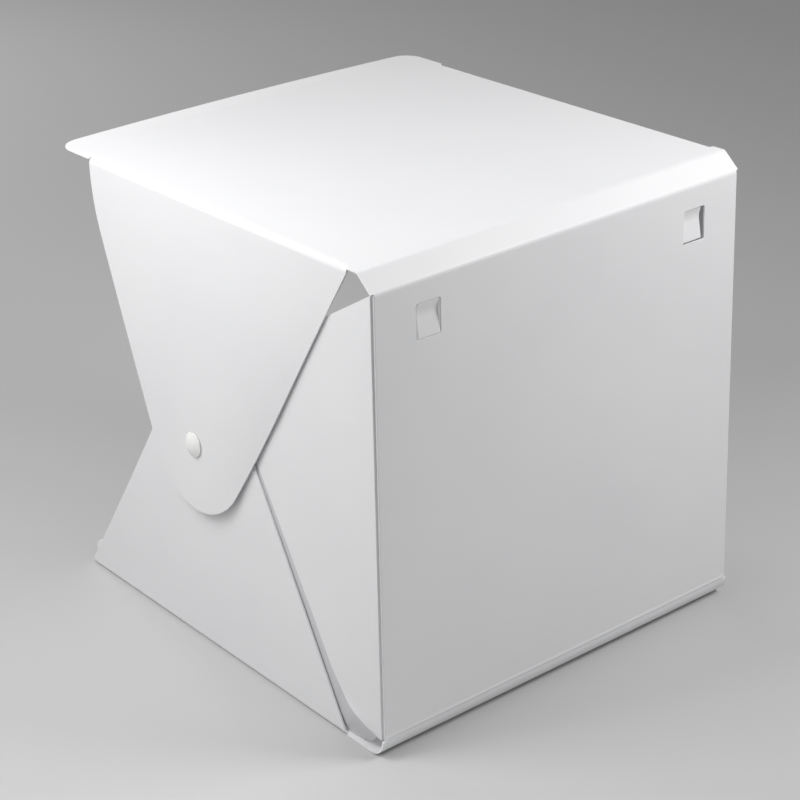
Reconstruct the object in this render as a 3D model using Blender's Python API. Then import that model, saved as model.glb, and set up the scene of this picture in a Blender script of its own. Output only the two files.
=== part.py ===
# Light tent cube: a folding box of white sheet plastic, open at the front, for photographing small things.
# One die-cut sheet makes the floor, back and lid. Three flaps a side close each side wall, and a press
# stud holds the upper and lower flap together. A light strip is stuck under the lid.
# Metres, +Z up, front towards -Y. Origin: middle of the footprint, at the face the box rests on.
import math

import bmesh
import bpy
from mathutils import Matrix, Vector

for old in list(bpy.data.objects):
    bpy.data.objects.remove(old, do_unlink=True)

# Box and sheet
WIDTH = 0.226
DEPTH = 0.244
HEIGHT = 0.235
SHEET = 0.0009

# Rear bends, side folds and the gap that is kept between neighbouring pieces
FOOT_BEND_R = 0.0097
CROWN_REACH = 0.0105
CROWN_LEAN = math.radians(41)
CROWN_KNEE_R = 0.0035
LID_FOLD_R = 0.003
FOOT_FOLD_R = 0.002
BACK_FOLD_R = 0.0015
SEAT = 0.0003
RELIEF = 0.0006

# Lid and floor corners
LID_CORNER_R = 0.0105
FLOOR_CORNER_R = 0.002

# Press studs, centred on both flap tips
STUD_HEIGHT = 0.1115
CAP_R = 0.0062
CAP_RIM = 0.0007
CAP_RISE = 0.0025
POST_R = 0.0011
POST_ENTRY = 0.0005
SNAP_R = 0.0053
SNAP_EDGE = 0.0004
SOCKET_THICK = 0.002
STUD_BASE = 0.0008
NIPPLE_R = 0.00205
NECK_R = 0.0018
NIPPLE_RISE = 0.0015

# Upper flap of a side wall, hanging from the lid
TIP_R = 0.035
LID_FLAP_FRONT_LEAN = math.radians(68)
LID_FLAP_ROOT_R = 0.1
LID_FLAP_TO_BEND = 0.0065

# Lower flap of a side wall, standing on the floor
FLOOR_FLAP_TO_BEND = 0.0173
FLOOR_TIP_R = 0.034
FLOOR_TIP_BEHIND_STUD = 0.0033
FLOOR_TIP_ABOVE_STUD = 0.0017
EAR_R = 0.0055
EAR_PROUD = 0.0022
EAR_HEIGHT = 0.0135

# Rear flap of a side wall, folded forward from the back, with its edge turned in along a crease
BACK_FLAP_LOW = 0.0103
BACK_FLAP_FROM_TOP = 0.0083
BACK_FLAP_TOP_LEAN = math.radians(31)
BACK_FLAP_TIP_R = 0.012
CREASE_LEAN = math.radians(56.5)
CREASE_FOOT_FROM_BACK = 0.0324
CREASE_FOOT_HEIGHT = 0.024
CUSP_FROM_BACK = 0.0054
CUSP_HEIGHT = 0.0106
MARGIN_DROP = math.radians(17)
MARGIN_FOOT = 0.0195
MARGIN_REACH = 0.013
MARGIN_FULL_SHARE = 0.7

# Tongues cut in the back, with a bend that makes each one a hook
TONGUE_FROM_SIDE = 0.0314
TONGUE_BASE_FROM_TOP = 0.0347
TONGUE_WIDTH = 0.0122
TONGUE_LENGTH = 0.0160
TONGUE_KNEE = 0.0107
TONGUE_BULGE = 0.0018
TONGUE_CORNER_R = 0.002
WINDOW_SIDE_GAP = 0.0009
WINDOW_TOP_GAP = 0.0007
WINDOW_CORNER_R = 0.001

# Light strip under the lid
STRIP_FROM_FRONT = 0.022
BOARD_FROM_SIDE = 0.010
BOARD_WIDTH = 0.010
BOARD_THICK = 0.001
TAPE_WIDTH = 0.009
TAPE_THICK = 0.0006
LED_LENGTH = 0.0035
LED_WIDTH = 0.0028
LED_THICK = 0.0008
LED_PITCH = 0.010
LED_END_SPACE = 0.005
INLET_LENGTH = 0.006
INLET_WIDTH = 0.0078
INLET_HEIGHT = 0.0028
INLET_WALL = 0.0004
INLET_CORNER_R = 0.0008

# Counts of facets, and the overrun of a cutter past the faces that it opens
BEND_STEPS = 9
FOLD_STEPS = 5
ARC_STEPS = 6
TIP_STEPS = 12
TURNS = 32
OVERRUN = 0.002
MERGE = 0.000001
SMOOTH_ANGLE = math.radians(30)

# Worked out from the sizes above
FRONT = -DEPTH / 2
BACK = DEPTH / 2
SIDE = WIDTH / 2
FLAP_GAP = SEAT + SOCKET_THICK + SEAT + STUD_BASE + SEAT
LEAN = math.asin((FLAP_GAP + SHEET) / (HEIGHT - LID_FOLD_R - FOOT_FOLD_R))
LID_EDGE = SIDE - LID_FOLD_R
FLOOR_EDGE = SIDE - FOOT_FOLD_R
BACK_EDGE = SIDE - BACK_FOLD_R
CROWN_TURN = math.pi / 2 - CROWN_LEAN
CROWN_RUN = CROWN_REACH - CROWN_KNEE_R * math.tan(CROWN_LEAN / 2)
CROWN_DROP = CROWN_RUN * math.tan(CROWN_LEAN) + CROWN_KNEE_R * math.tan(CROWN_TURN / 2)
FLOOR_FLAP_BASE = DEPTH - FOOT_BEND_R - FLOOR_FLAP_TO_BEND
LID_FLAP_REAR = DEPTH - CROWN_REACH - LID_FLAP_TO_BEND
STUD_FROM_FRONT = FLOOR_FLAP_BASE / 2
BACK_FLAP_TOP = HEIGHT - BACK_FLAP_FROM_TOP
BOARD_LENGTH = WIDTH - 2 * BOARD_FROM_SIDE
TONGUE_BASE_HEIGHT = HEIGHT - TONGUE_BASE_FROM_TOP
SIDES = {'right': 1, 'left': -1}


def material(name, colour, roughness, metallic=0.0):
    """A Principled material."""
    made = bpy.data.materials.new(name)
    made.use_nodes = True
    shader = made.node_tree.nodes['Principled BSDF']
    shader.inputs['Base Color'].default_value = (*colour, 1.0)
    shader.inputs['Roughness'].default_value = roughness
    shader.inputs['Metallic'].default_value = metallic
    return made


def place_of(thing):
    """World place of an object's origin."""
    return thing.location + (place_of(thing.parent) if thing.parent else Vector())


def piece(name, bm, finish, origin=(0, 0, 0), parent=None):
    """An object whose origin lies at a point, with its shape given about that point."""
    mesh = bpy.data.meshes.new(name)
    bm.to_mesh(mesh)
    bm.free()
    mesh.shade_smooth()
    mesh.set_sharp_from_angle(angle=SMOOTH_ANGLE)
    mesh.materials.append(finish)
    made = bpy.data.objects.new(name, mesh)
    bpy.context.collection.objects.link(made)
    made.location = origin
    if parent:
        made.parent = parent
        made.location = Vector(origin) - place_of(parent)
    return made


def skin(rows, outward):
    """An open skin through rows of points, facing outward."""
    bm = bmesh.new()
    grid = [[bm.verts.new(point) for point in row] for row in rows]
    for near, far in zip(grid, grid[1:]):
        for corners in zip(near, near[1:], far[1:], far):
            bm.faces.new(corners)
    bmesh.ops.remove_doubles(bm, verts=bm.verts, dist=MERGE)
    bm.normal_update()
    facing = sum((face.normal * face.calc_area() for face in bm.faces), Vector())
    if facing.dot(Vector(outward)) < 0:
        bmesh.ops.reverse_faces(bm, faces=bm.faces)
    return bm


def sheet(name, rows, outward, finish, origin=(0, 0, 0), parent=None):
    """A sheet piece: its outer skin, thickened inward."""
    bm = skin(rows, outward)
    bmesh.ops.translate(bm, verts=bm.verts, vec=-Vector(origin))
    made = piece(name, bm, finish, origin, parent)
    thicken = made.modifiers.new('thickness', 'SOLIDIFY')
    thicken.thickness = SHEET
    thicken.offset = -1
    thicken.use_even_offset = True
    return made


def block(size, middle, corner=0.0):
    """A block, with its upright edges rounded where a corner radius is given."""
    bm = bmesh.new()
    bmesh.ops.create_cube(bm, size=1, matrix=Matrix.Translation(middle) @ Matrix.Diagonal((*size, 1)))
    if corner:
        upright = [edge for edge in bm.edges
                   if abs((edge.verts[0].co - edge.verts[1].co).normalized().z) > math.cos(SMOOTH_ANGLE)]
        bmesh.ops.bevel(bm, geom=upright, offset=corner, segments=FOLD_STEPS, profile=0.5, affect='EDGES')
    return bm


def turned(profile):
    """A solid turned about Z from (radius, height) points that run from the axis or bore round to it."""
    bm = bmesh.new()
    ring = [bm.verts.new((radius, 0, height)) for radius, height in profile]
    edges = [bm.edges.new(pair) for pair in zip(ring, ring[1:])]
    if profile[0][0] or profile[-1][0]:
        edges.append(bm.edges.new((ring[-1], ring[0])))
    bmesh.ops.spin(bm, geom=ring + edges, cent=(0, 0, 0), axis=(0, 0, 1), angle=math.tau, steps=TURNS)
    bmesh.ops.remove_doubles(bm, verts=bm.verts, dist=MERGE)
    bmesh.ops.recalc_face_normals(bm, faces=bm.faces)
    return bm


def cut(target, cutter):
    """Take a cutter's shape out of a piece."""
    hole = target.modifiers.new('hole', 'BOOLEAN')
    hole.operation = 'DIFFERENCE'
    hole.solver = 'EXACT'
    hole.object = cutter


def cutting(name, bm):
    """A cutter, which is no piece of the box."""
    made = piece(name, bm, CUTTER_GUIDE)
    made.hide_render = True
    made.display_type = 'WIRE'
    return made


def arc(centre, radius, start, end, steps):
    """Points along an arc of a circle, as pairs."""
    angles = [start + (end - start) * step / steps for step in range(steps + 1)]
    return [(centre[0] + radius * math.cos(a), centre[1] + radius * math.sin(a)) for a in angles]


WHITE_SHEET = material('white_sheet', (0.90, 0.90, 0.91), 0.42)
STUD_RESIN = material('stud_resin', (0.93, 0.93, 0.93), 0.22)
FOAM_TAPE = material('foam_tape', (0.86, 0.86, 0.84), 0.8)
BOARD_WHITE = material('board_white', (0.88, 0.89, 0.88), 0.35)
LED_PACKAGE = material('led_package', (0.93, 0.86, 0.46), 0.3)
INLET_METAL = material('inlet_metal', (0.72, 0.72, 0.74), 0.3, 1.0)
CUTTER_GUIDE = material('cutter_guide', (0.5, 0.5, 0.5), 0.5)


def touch(corner, centre, radius, turn):
    """Where a straight edge from a corner meets a round tip, passing it on the side that turn tells."""
    across, up = centre[0] - corner[0], centre[1] - corner[1]
    reach = math.hypot(across, up)
    lean = math.atan2(up, across) + turn * math.asin(radius / reach)
    length = math.sqrt(reach ** 2 - radius ** 2)
    return corner[0] + length * math.cos(lean), corner[1] + length * math.sin(lean)


def between(low, high, height):
    """Place on a straight edge from a low point to a high one, at a height."""
    return low[0] + (high[0] - low[0]) * (height - low[1]) / (high[1] - low[1])


def half_chord(radius, off_centre):
    """Half the width of a circle at a distance from its centre."""
    return math.sqrt(max(0, radius ** 2 - off_centre ** 2))


# Floor, with the round bend that rises to the back
def floor_rows():
    corner = arc((FLOOR_EDGE - SEAT / 2 - FLOOR_CORNER_R, FRONT + FLOOR_CORNER_R), FLOOR_CORNER_R,
                 -math.pi / 2, 0, FOLD_STEPS)
    flap_end = FRONT + FLOOR_FLAP_BASE + RELIEF
    edge = corner + [(FLOOR_EDGE - SEAT / 2, flap_end), (SIDE, flap_end + SEAT)]
    bend = arc((BACK - FOOT_BEND_R, FOOT_BEND_R), FOOT_BEND_R, -math.pi / 2, 0, BEND_STEPS)
    return ([((-x, y, 0), (x, y, 0)) for x, y in edge]
            + [((-SIDE, y, z), (SIDE, y, z)) for y, z in bend])


floor_panel = sheet('floor_panel', floor_rows(), (0, 1, -1), WHITE_SHEET)


# Back, with a slope between two soft knees that leads over to the lid, hinged at the score line above the
# foot bend
BACK_HINGE = (0, BACK, FOOT_BEND_R)


def back_rows():
    inner = BACK_EDGE - SEAT / 2
    profile = [(BACK, FOOT_BEND_R + SEAT)]
    profile += arc((BACK - CROWN_KNEE_R, HEIGHT - CROWN_DROP), CROWN_KNEE_R, 0, CROWN_TURN, FOLD_STEPS)
    profile += arc((BACK - CROWN_REACH, HEIGHT - CROWN_KNEE_R), CROWN_KNEE_R, CROWN_TURN, math.pi / 2,
                   FOLD_STEPS)
    low, high = BACK_FLAP_TOP + RELIEF, BACK_FLAP_TOP + RELIEF + SEAT
    narrow = [point for point in profile if point[1] < low]
    wide = [point for point in profile if point[1] > high]
    narrow.append((between(narrow[-1], wide[0], low), low))
    wide.insert(0, (between(narrow[-1], wide[0], high), high))
    return ([((-inner, y, z), (inner, y, z)) for y, z in narrow]
            + [((-SIDE, y, z), (SIDE, y, z)) for y, z in wide])


back_panel = sheet('back_panel', back_rows(), (0, 1, 1), WHITE_SHEET, BACK_HINGE)


# Windows in the back, and the tongue in each: it leans in to a knee, and its tip comes back to the sheet
def window_cutter(name, middle_x):
    width = TONGUE_WIDTH + 2 * WINDOW_SIDE_GAP
    height = TONGUE_LENGTH + WINDOW_TOP_GAP + SEAT
    bm = block((width, height, SHEET + 2 * OVERRUN), (0, 0, 0), WINDOW_CORNER_R)
    bmesh.ops.rotate(bm, verts=bm.verts, matrix=Matrix.Rotation(math.pi / 2, 3, 'X'))
    middle_z = TONGUE_BASE_HEIGHT - SEAT + height / 2
    bmesh.ops.translate(bm, verts=bm.verts, vec=(middle_x, BACK - SHEET / 2, middle_z))
    return cutting(name, bm)


def tongue_rows(middle_x):
    half = TONGUE_WIDTH / 2
    knee = (BACK - TONGUE_BULGE, TONGUE_KNEE)
    tip = (BACK - SEAT, TONGUE_LENGTH)
    outline = [(half, BACK, 0), (half, *knee)]
    for x, up in arc((half - TONGUE_CORNER_R, TONGUE_LENGTH - TONGUE_CORNER_R), TONGUE_CORNER_R,
                     0, math.pi / 2, FOLD_STEPS):
        outline.append((x, between(knee, tip, up), up))
    return [((middle_x - x, y, TONGUE_BASE_HEIGHT + up), (middle_x + x, y, TONGUE_BASE_HEIGHT + up))
            for x, y, up in outline]


for side, sign in SIDES.items():
    tongue_x = sign * (SIDE - TONGUE_FROM_SIDE)
    cut(back_panel, window_cutter(f'window_cutter_{side}', tongue_x))
    sheet(f'hook_tongue_{side}', tongue_rows(tongue_x), (0, 1, 0), WHITE_SHEET,
          (tongue_x, BACK - SHEET, TONGUE_BASE_HEIGHT), back_panel)


# Lid, stepped in at both sides where the upper flaps fold down from it
LID_HINGE = (0, BACK - CROWN_REACH, HEIGHT)
STUD = (STUD_FROM_FRONT, STUD_HEIGHT)
LID_FLAP_FRONT_TOUCH = (STUD[0] - TIP_R * math.sin(LID_FLAP_FRONT_LEAN),
                        STUD[1] - TIP_R * math.cos(LID_FLAP_FRONT_LEAN))
LID_FLAP_REAR_CORNER = (LID_FLAP_REAR, HEIGHT - LID_FOLD_R)
LID_FLAP_REAR_TOUCH = touch(LID_FLAP_REAR_CORNER, STUD, TIP_R, 1)
LID_FLAP_TURN = HEIGHT - LID_FLAP_ROOT_R * math.cos(LID_FLAP_FRONT_LEAN)


def lid_flap_front(height):
    """Distance of the upper flap's front edge from the front of the box, at a height."""
    if height < LID_FLAP_FRONT_TOUCH[1]:
        return STUD[0] - half_chord(TIP_R, height - STUD[1])
    run = 1 / math.tan(LID_FLAP_FRONT_LEAN)
    if height < LID_FLAP_TURN:
        return LID_FLAP_FRONT_TOUCH[0] - (height - LID_FLAP_FRONT_TOUCH[1]) * run
    turn_from_front = LID_FLAP_FRONT_TOUCH[0] - (LID_FLAP_TURN - LID_FLAP_FRONT_TOUCH[1]) * run
    middle = turn_from_front + LID_FLAP_ROOT_R * math.sin(LID_FLAP_FRONT_LEAN)
    return middle - half_chord(LID_FLAP_ROOT_R, HEIGHT - height)


def lid_flap_rear(height):
    """Distance of the upper flap's rear edge from the front of the box, at a height."""
    if height < LID_FLAP_REAR_TOUCH[1]:
        return STUD[0] + half_chord(TIP_R, height - STUD[1])
    if height > LID_FLAP_REAR_CORNER[1]:
        return LID_FLAP_REAR
    return between(LID_FLAP_REAR_TOUCH, LID_FLAP_REAR_CORNER, height)


def lid_rows():
    corner = arc((SIDE - LID_CORNER_R, FRONT + LID_CORNER_R), LID_CORNER_R, -math.pi / 2, 0, FOLD_STEPS)
    inner = LID_EDGE - SEAT / 2
    root_front = FRONT + lid_flap_front(HEIGHT) - RELIEF
    root_rear = FRONT + LID_FLAP_REAR + RELIEF
    edge = corner + [(SIDE, root_front - SEAT), (inner, root_front),
                     (inner, root_rear), (SIDE, root_rear + SEAT), (SIDE, LID_HINGE[1] - SEAT)]
    return [((-x, y, HEIGHT), (x, y, HEIGHT)) for x, y in edge]


lid_panel = sheet('lid_panel', lid_rows(), (0, 0, 1), WHITE_SHEET, LID_HINGE, back_panel)


# Press studs: a domed cap with a post outside each flap, a socket and a stud face to face between them
def cap_shape():
    """A domed cap with its post pointing down, its underside at zero."""
    dome_r = (CAP_R ** 2 + (CAP_RISE - CAP_RIM) ** 2) / (2 * (CAP_RISE - CAP_RIM))
    swing = math.asin(CAP_R / dome_r)
    dome = arc((0, CAP_RISE - dome_r), dome_r, math.pi / 2, math.pi / 2 - swing, ARC_STEPS)
    post_end = -SEAT - SHEET - SEAT - POST_ENTRY
    return turned(dome + [(CAP_R, 0), (POST_R, 0), (POST_R, post_end), (0, post_end)])


def socket_shape():
    """A socket with its roof at zero and its mouth down, bored for the cap's post."""
    bore = POST_R + SEAT
    mouth = NIPPLE_R + SEAT
    roof = -POST_ENTRY
    return turned([(bore, 0), (SNAP_R - SNAP_EDGE, 0), (SNAP_R, -SNAP_EDGE), (SNAP_R, -SOCKET_THICK),
                   (mouth, -SOCKET_THICK), (mouth, roof), (bore, roof)])


def stud_shape():
    """A stud with its base at zero and its nipple up, bored from below for the inner cap's post."""
    bore = POST_R + SEAT
    top = STUD_BASE + NIPPLE_RISE
    blind = POST_ENTRY + SEAT
    shoulder = STUD_BASE + NIPPLE_RISE / 2
    return turned([(0, top), (NECK_R, top), (NIPPLE_R, shoulder), (NECK_R, STUD_BASE),
                   (SNAP_R - SNAP_EDGE, STUD_BASE), (SNAP_R, STUD_BASE - SNAP_EDGE), (SNAP_R, 0),
                   (bore, 0), (bore, blind), (0, blind)])


def floor_face_x(height):
    """Outer face of a lower flap, at a height."""
    start = (FLOOR_EDGE + FOOT_FOLD_R * math.cos(LEAN), FOOT_FOLD_R + FOOT_FOLD_R * math.sin(LEAN))
    return start[0] - (height - start[1]) * math.tan(LEAN)


def lid_face_x(height):
    """Outer face of an upper flap, at a height."""
    start = (LID_EDGE + LID_FOLD_R * math.cos(LEAN), HEIGHT - LID_FOLD_R + LID_FOLD_R * math.sin(LEAN))
    return start[0] + (start[1] - height) * math.tan(LEAN)


def stud_point(sign, offset):
    """A point on a press stud's axis, at an offset out from the lower flap's outer face."""
    return Vector((sign * (floor_face_x(STUD_HEIGHT) + offset * math.cos(LEAN)),
                   FRONT + STUD_FROM_FRONT, STUD_HEIGHT + offset * math.sin(LEAN)))


def stud_piece(name, bm, sign, offset, outward, carrier):
    """A turned piece of a press stud, set on the stud's axis and pointing out or in."""
    made = piece(name, bm, STUD_RESIN, stud_point(sign, offset), carrier)
    pointing = Vector((sign * math.cos(LEAN), 0, math.sin(LEAN))) * outward
    made.rotation_euler = pointing.to_track_quat('Z', 'Y').to_euler()
    return made


def post_hole(name, sign):
    """A cutter through both flaps for the posts of a press stud."""
    reach = FLAP_GAP + 2 * SHEET + 2 * OVERRUN
    bore = POST_R + SEAT
    bm = turned([(0, reach), (bore, reach), (bore, 0), (0, 0)])
    made = cutting(name, bm)
    made.location = stud_point(sign, -SHEET - OVERRUN)
    pointing = Vector((sign * math.cos(LEAN), 0, math.sin(LEAN)))
    made.rotation_euler = pointing.to_track_quat('Z', 'Y').to_euler()
    return made


# Upper flaps: each folds down from the lid and leans out over the press stud
def lid_flap_rows(sign):
    fold = arc((LID_EDGE, HEIGHT - LID_FOLD_R), LID_FOLD_R, math.pi / 2, LEAN, FOLD_STEPS)
    fold[0] = (fold[0][0] + SEAT / 2, fold[0][1])
    fold_end = fold[-1][1]
    heights = [fold_end - (fold_end - LID_FLAP_TURN) * step / ARC_STEPS for step in range(1, ARC_STEPS + 1)]
    heights += sorted([LID_FLAP_FRONT_TOUCH[1], LID_FLAP_REAR_TOUCH[1]], reverse=True)
    start = math.asin((STUD[1] - heights[-1]) / TIP_R)
    heights += [STUD[1] - TIP_R * math.sin(start + (math.pi / 2 - start) * step / TIP_STEPS)
                for step in range(1, TIP_STEPS + 1)]
    places = fold + [(lid_face_x(z), z) for z in heights]
    return [((sign * x, FRONT + lid_flap_front(z), z), (sign * x, FRONT + lid_flap_rear(z), z))
            for x, z in places]


# Lower flaps: each folds up from the floor and leans in under the upper one
FLOOR_TIP = (STUD[0] + FLOOR_TIP_BEHIND_STUD, STUD[1] + FLOOR_TIP_ABOVE_STUD)
FLOOR_FLAP_FRONT_TOUCH = touch((0, 0), FLOOR_TIP, FLOOR_TIP_R, 1)
FLOOR_FLAP_REAR_TOUCH = touch((FLOOR_FLAP_BASE, 0), FLOOR_TIP, FLOOR_TIP_R, -1)
FLOOR_FLAP_FRONT_LEAN = math.atan2(FLOOR_FLAP_FRONT_TOUCH[1], FLOOR_FLAP_FRONT_TOUCH[0])
EAR_HALF = half_chord(EAR_R, EAR_R - EAR_PROUD) * math.sin(FLOOR_FLAP_FRONT_LEAN)


def floor_flap_front(height):
    """Distance of the lower flap's front edge, with its round ear, from the front of the box."""
    if height > FLOOR_FLAP_FRONT_TOUCH[1]:
        return FLOOR_TIP[0] - half_chord(FLOOR_TIP_R, height - FLOOR_TIP[1])
    straight = height / math.tan(FLOOR_FLAP_FRONT_LEAN)
    if abs(height - EAR_HEIGHT) >= EAR_HALF:
        return straight
    sunk = EAR_R - EAR_PROUD
    middle = (EAR_HEIGHT / math.tan(FLOOR_FLAP_FRONT_LEAN) + sunk * math.sin(FLOOR_FLAP_FRONT_LEAN),
              EAR_HEIGHT - sunk * math.cos(FLOOR_FLAP_FRONT_LEAN))
    return min(straight, middle[0] - half_chord(EAR_R, height - middle[1]))


def floor_flap_rear(height):
    """Distance of the lower flap's rear edge from the front of the box, at a height."""
    if height > FLOOR_FLAP_REAR_TOUCH[1]:
        return FLOOR_TIP[0] + half_chord(FLOOR_TIP_R, height - FLOOR_TIP[1])
    return between((FLOOR_FLAP_BASE, 0), FLOOR_FLAP_REAR_TOUCH, height)


def floor_flap_rows(sign):
    fold = arc((FLOOR_EDGE, FOOT_FOLD_R), FOOT_FOLD_R, -math.pi / 2, LEAN, FOLD_STEPS)
    fold[0] = (fold[0][0] + SEAT / 2, fold[0][1])
    heights = [EAR_HEIGHT + EAR_HALF * (2 * step / TIP_STEPS - 1) for step in range(TIP_STEPS + 1)]
    heights += sorted([FLOOR_FLAP_FRONT_TOUCH[1], FLOOR_FLAP_REAR_TOUCH[1]])
    start = math.asin((heights[-1] - FLOOR_TIP[1]) / FLOOR_TIP_R)
    heights += [FLOOR_TIP[1] + FLOOR_TIP_R * math.sin(start + (math.pi / 2 - start) * step / TIP_STEPS)
                for step in range(1, TIP_STEPS + 1)]
    places = fold + [(floor_face_x(z), z) for z in heights]
    return [((sign * x, FRONT + floor_flap_front(z), z), (sign * x, FRONT + floor_flap_rear(z), z))
            for x, z in places]


for side, sign in SIDES.items():
    hole = post_hole(f'post_hole_{side}', sign)
    upper = sheet(f'top_flap_{side}', lid_flap_rows(sign), (sign, 0, 0), WHITE_SHEET,
                  (sign * SIDE, 0, HEIGHT), lid_panel)
    lower = sheet(f'bottom_flap_{side}', floor_flap_rows(sign), (sign, 0, 0), WHITE_SHEET,
                  (sign * SIDE, 0, 0), floor_panel)
    cut(upper, hole)
    cut(lower, hole)
    stud_piece(f'stud_outer_cap_{side}', cap_shape(), sign, FLAP_GAP + SHEET + SEAT, 1, upper)
    stud_piece(f'stud_socket_{side}', socket_shape(), sign, FLAP_GAP - SEAT, 1, upper)
    stud_piece(f'stud_nipple_{side}', stud_shape(), sign, SEAT, 1, lower)
    stud_piece(f'stud_inner_cap_{side}', cap_shape(), sign, -SHEET - SEAT, -1, lower)


# Rear flaps: each folds forward from the back, and its free edge is turned in behind the lower flap
BACK_FLAP_REACH = (CREASE_FOOT_FROM_BACK - BACK_FOLD_R
                   + (FLOOR_TIP[1] - CREASE_FOOT_HEIGHT) / math.tan(CREASE_LEAN))
BACK_FLAP_LEAN = math.atan((SIDE - floor_face_x(FLOOR_TIP[1]) + SHEET + 2 * SEAT) / BACK_FLAP_REACH)


def back_face_x(from_front):
    """Outer face of a rear flap, at a distance from the front of the box."""
    start = (BACK_EDGE + BACK_FOLD_R * math.cos(BACK_FLAP_LEAN),
             DEPTH - BACK_FOLD_R - BACK_FOLD_R * math.sin(BACK_FLAP_LEAN))
    return start[0] - (start[1] - from_front) * math.tan(BACK_FLAP_LEAN)


def crease_rows():
    """Points of the crease, and of the turned-in margin's edge, from the cusp up to the round tip."""
    cusp = (DEPTH - CUSP_FROM_BACK, CUSP_HEIGHT)
    foot = (DEPTH - CREASE_FOOT_FROM_BACK, CREASE_FOOT_HEIGHT)
    foot_run = math.dist(cusp, foot)
    along = ((foot[0] - cusp[0]) / foot_run, (foot[1] - cusp[1]) / foot_run)
    found = []
    for step in range(ARC_STEPS + 1):
        angle = math.pi / 2 * step / ARC_STEPS
        run = foot_run * (1 - math.cos(angle))
        width = MARGIN_FOOT * math.sin(angle)
        point = (cusp[0] + run * along[0], cusp[1] + run * along[1])
        found.append((point, (point[0] - width * along[1], point[1] + width * along[0]), width))
    top = (DEPTH - BACK_FOLD_R, BACK_FLAP_TOP)
    crease_way = (-math.cos(CREASE_LEAN), math.sin(CREASE_LEAN))
    top_way = (-math.cos(BACK_FLAP_TOP_LEAN), -math.sin(BACK_FLAP_TOP_LEAN))
    across = (top[0] - foot[0]) * top_way[1] - (top[1] - foot[1]) * top_way[0]
    reach = across / (crease_way[0] * top_way[1] - crease_way[1] * top_way[0])
    setback = BACK_FLAP_TIP_R / math.tan((CREASE_LEAN + BACK_FLAP_TOP_LEAN) / 2)
    straight = reach - setback
    for step in range(1, ARC_STEPS + 1):
        share = step / ARC_STEPS
        width = MARGIN_REACH * min(1, (1 - share) / (1 - MARGIN_FULL_SHARE))
        point = (foot[0] + straight * share * crease_way[0], foot[1] + straight * share * crease_way[1])
        found.append((point, (point[0] - width * crease_way[1], point[1] + width * crease_way[0]), width))
    end = found[-1][0]
    middle = (end[0] + BACK_FLAP_TIP_R * crease_way[1], end[1] - BACK_FLAP_TIP_R * crease_way[0])
    first = math.pi + math.pi / 2 - CREASE_LEAN
    last = math.pi / 2 + BACK_FLAP_TOP_LEAN
    return found + [(point, point, 0) for point in arc(middle, BACK_FLAP_TIP_R, first, last, ARC_STEPS)[1:]]


def back_flap_rows(sign):
    fold = arc((BACK_EDGE, BACK - BACK_FOLD_R), BACK_FOLD_R, math.pi / 2, -BACK_FLAP_LEAN, FOLD_STEPS)
    fold[0] = (fold[0][0] + SEAT / 2, fold[0][1])
    found = crease_rows()
    tip_start = found[-ARC_STEPS - 1][0][1]
    rows = []
    for place, (crease, margin, width) in enumerate(found):
        steps_past = max(0, place - (len(found) - 1 - ARC_STEPS))
        root = min(crease[1], tip_start) + (BACK_FLAP_TOP - tip_start) * steps_past / ARC_STEPS
        if place == 0:
            root = BACK_FLAP_LOW
        row = [(sign * x, y, root) for x, y in fold]
        row.append((sign * back_face_x(crease[0]), FRONT + crease[0], crease[1]))
        drop = width * math.tan(MARGIN_DROP)
        row.append((sign * (back_face_x(margin[0]) - drop), FRONT + margin[0], margin[1]))
        rows.append(row)
    return rows


for side, sign in SIDES.items():
    sheet(f'back_flap_{side}', back_flap_rows(sign), (sign, 0, 0), WHITE_SHEET,
          (sign * BACK_EDGE, BACK - SHEET, 0), back_panel)


# Light strip under the lid near the front: foam tape, board, lamps in a row and a power inlet
STRIP_Y = FRONT + STRIP_FROM_FRONT
TAPE_TOP = HEIGHT - SHEET - SEAT
BOARD_TOP = TAPE_TOP - TAPE_THICK - SEAT
CHIP_TOP = BOARD_TOP - BOARD_THICK - SEAT


def strip_piece(name, bm, finish):
    """A piece of the light strip, which hangs from the lid."""
    bmesh.ops.translate(bm, verts=bm.verts, vec=-Vector(LID_HINGE))
    return piece(name, bm, finish, LID_HINGE, lid_panel)


strip_piece('light_strip_tape', block((BOARD_LENGTH, TAPE_WIDTH, TAPE_THICK),
                                      (0, STRIP_Y, TAPE_TOP - TAPE_THICK / 2)), FOAM_TAPE)
strip_piece('light_strip_board', block((BOARD_LENGTH, BOARD_WIDTH, BOARD_THICK),
                                       (0, STRIP_Y, BOARD_TOP - BOARD_THICK / 2)), BOARD_WHITE)

LED_START = -BOARD_LENGTH / 2 + INLET_LENGTH + LED_END_SPACE
LED_ROOM = BOARD_LENGTH - INLET_LENGTH - 2 * LED_END_SPACE
LED_COUNT = round(LED_ROOM / LED_PITCH) + 1
LED_STEP = LED_ROOM / (LED_COUNT - 1)
for number in range(LED_COUNT):
    led_middle = (LED_START + LED_STEP * number, STRIP_Y, CHIP_TOP - LED_THICK / 2)
    strip_piece(f'led_{number + 1:02d}', block((LED_WIDTH, LED_LENGTH, LED_THICK), led_middle), LED_PACKAGE)

INLET_MIDDLE = (-BOARD_LENGTH / 2 + INLET_LENGTH / 2, STRIP_Y, CHIP_TOP - INLET_HEIGHT / 2)


def lying_block(length, width, height, corner, middle):
    """A block along X, with its long edges rounded."""
    bm = block((height, width, length), (0, 0, 0), corner)
    bmesh.ops.rotate(bm, verts=bm.verts, matrix=Matrix.Rotation(math.pi / 2, 3, 'Y'))
    bmesh.ops.translate(bm, verts=bm.verts, vec=middle)
    return bm


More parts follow.
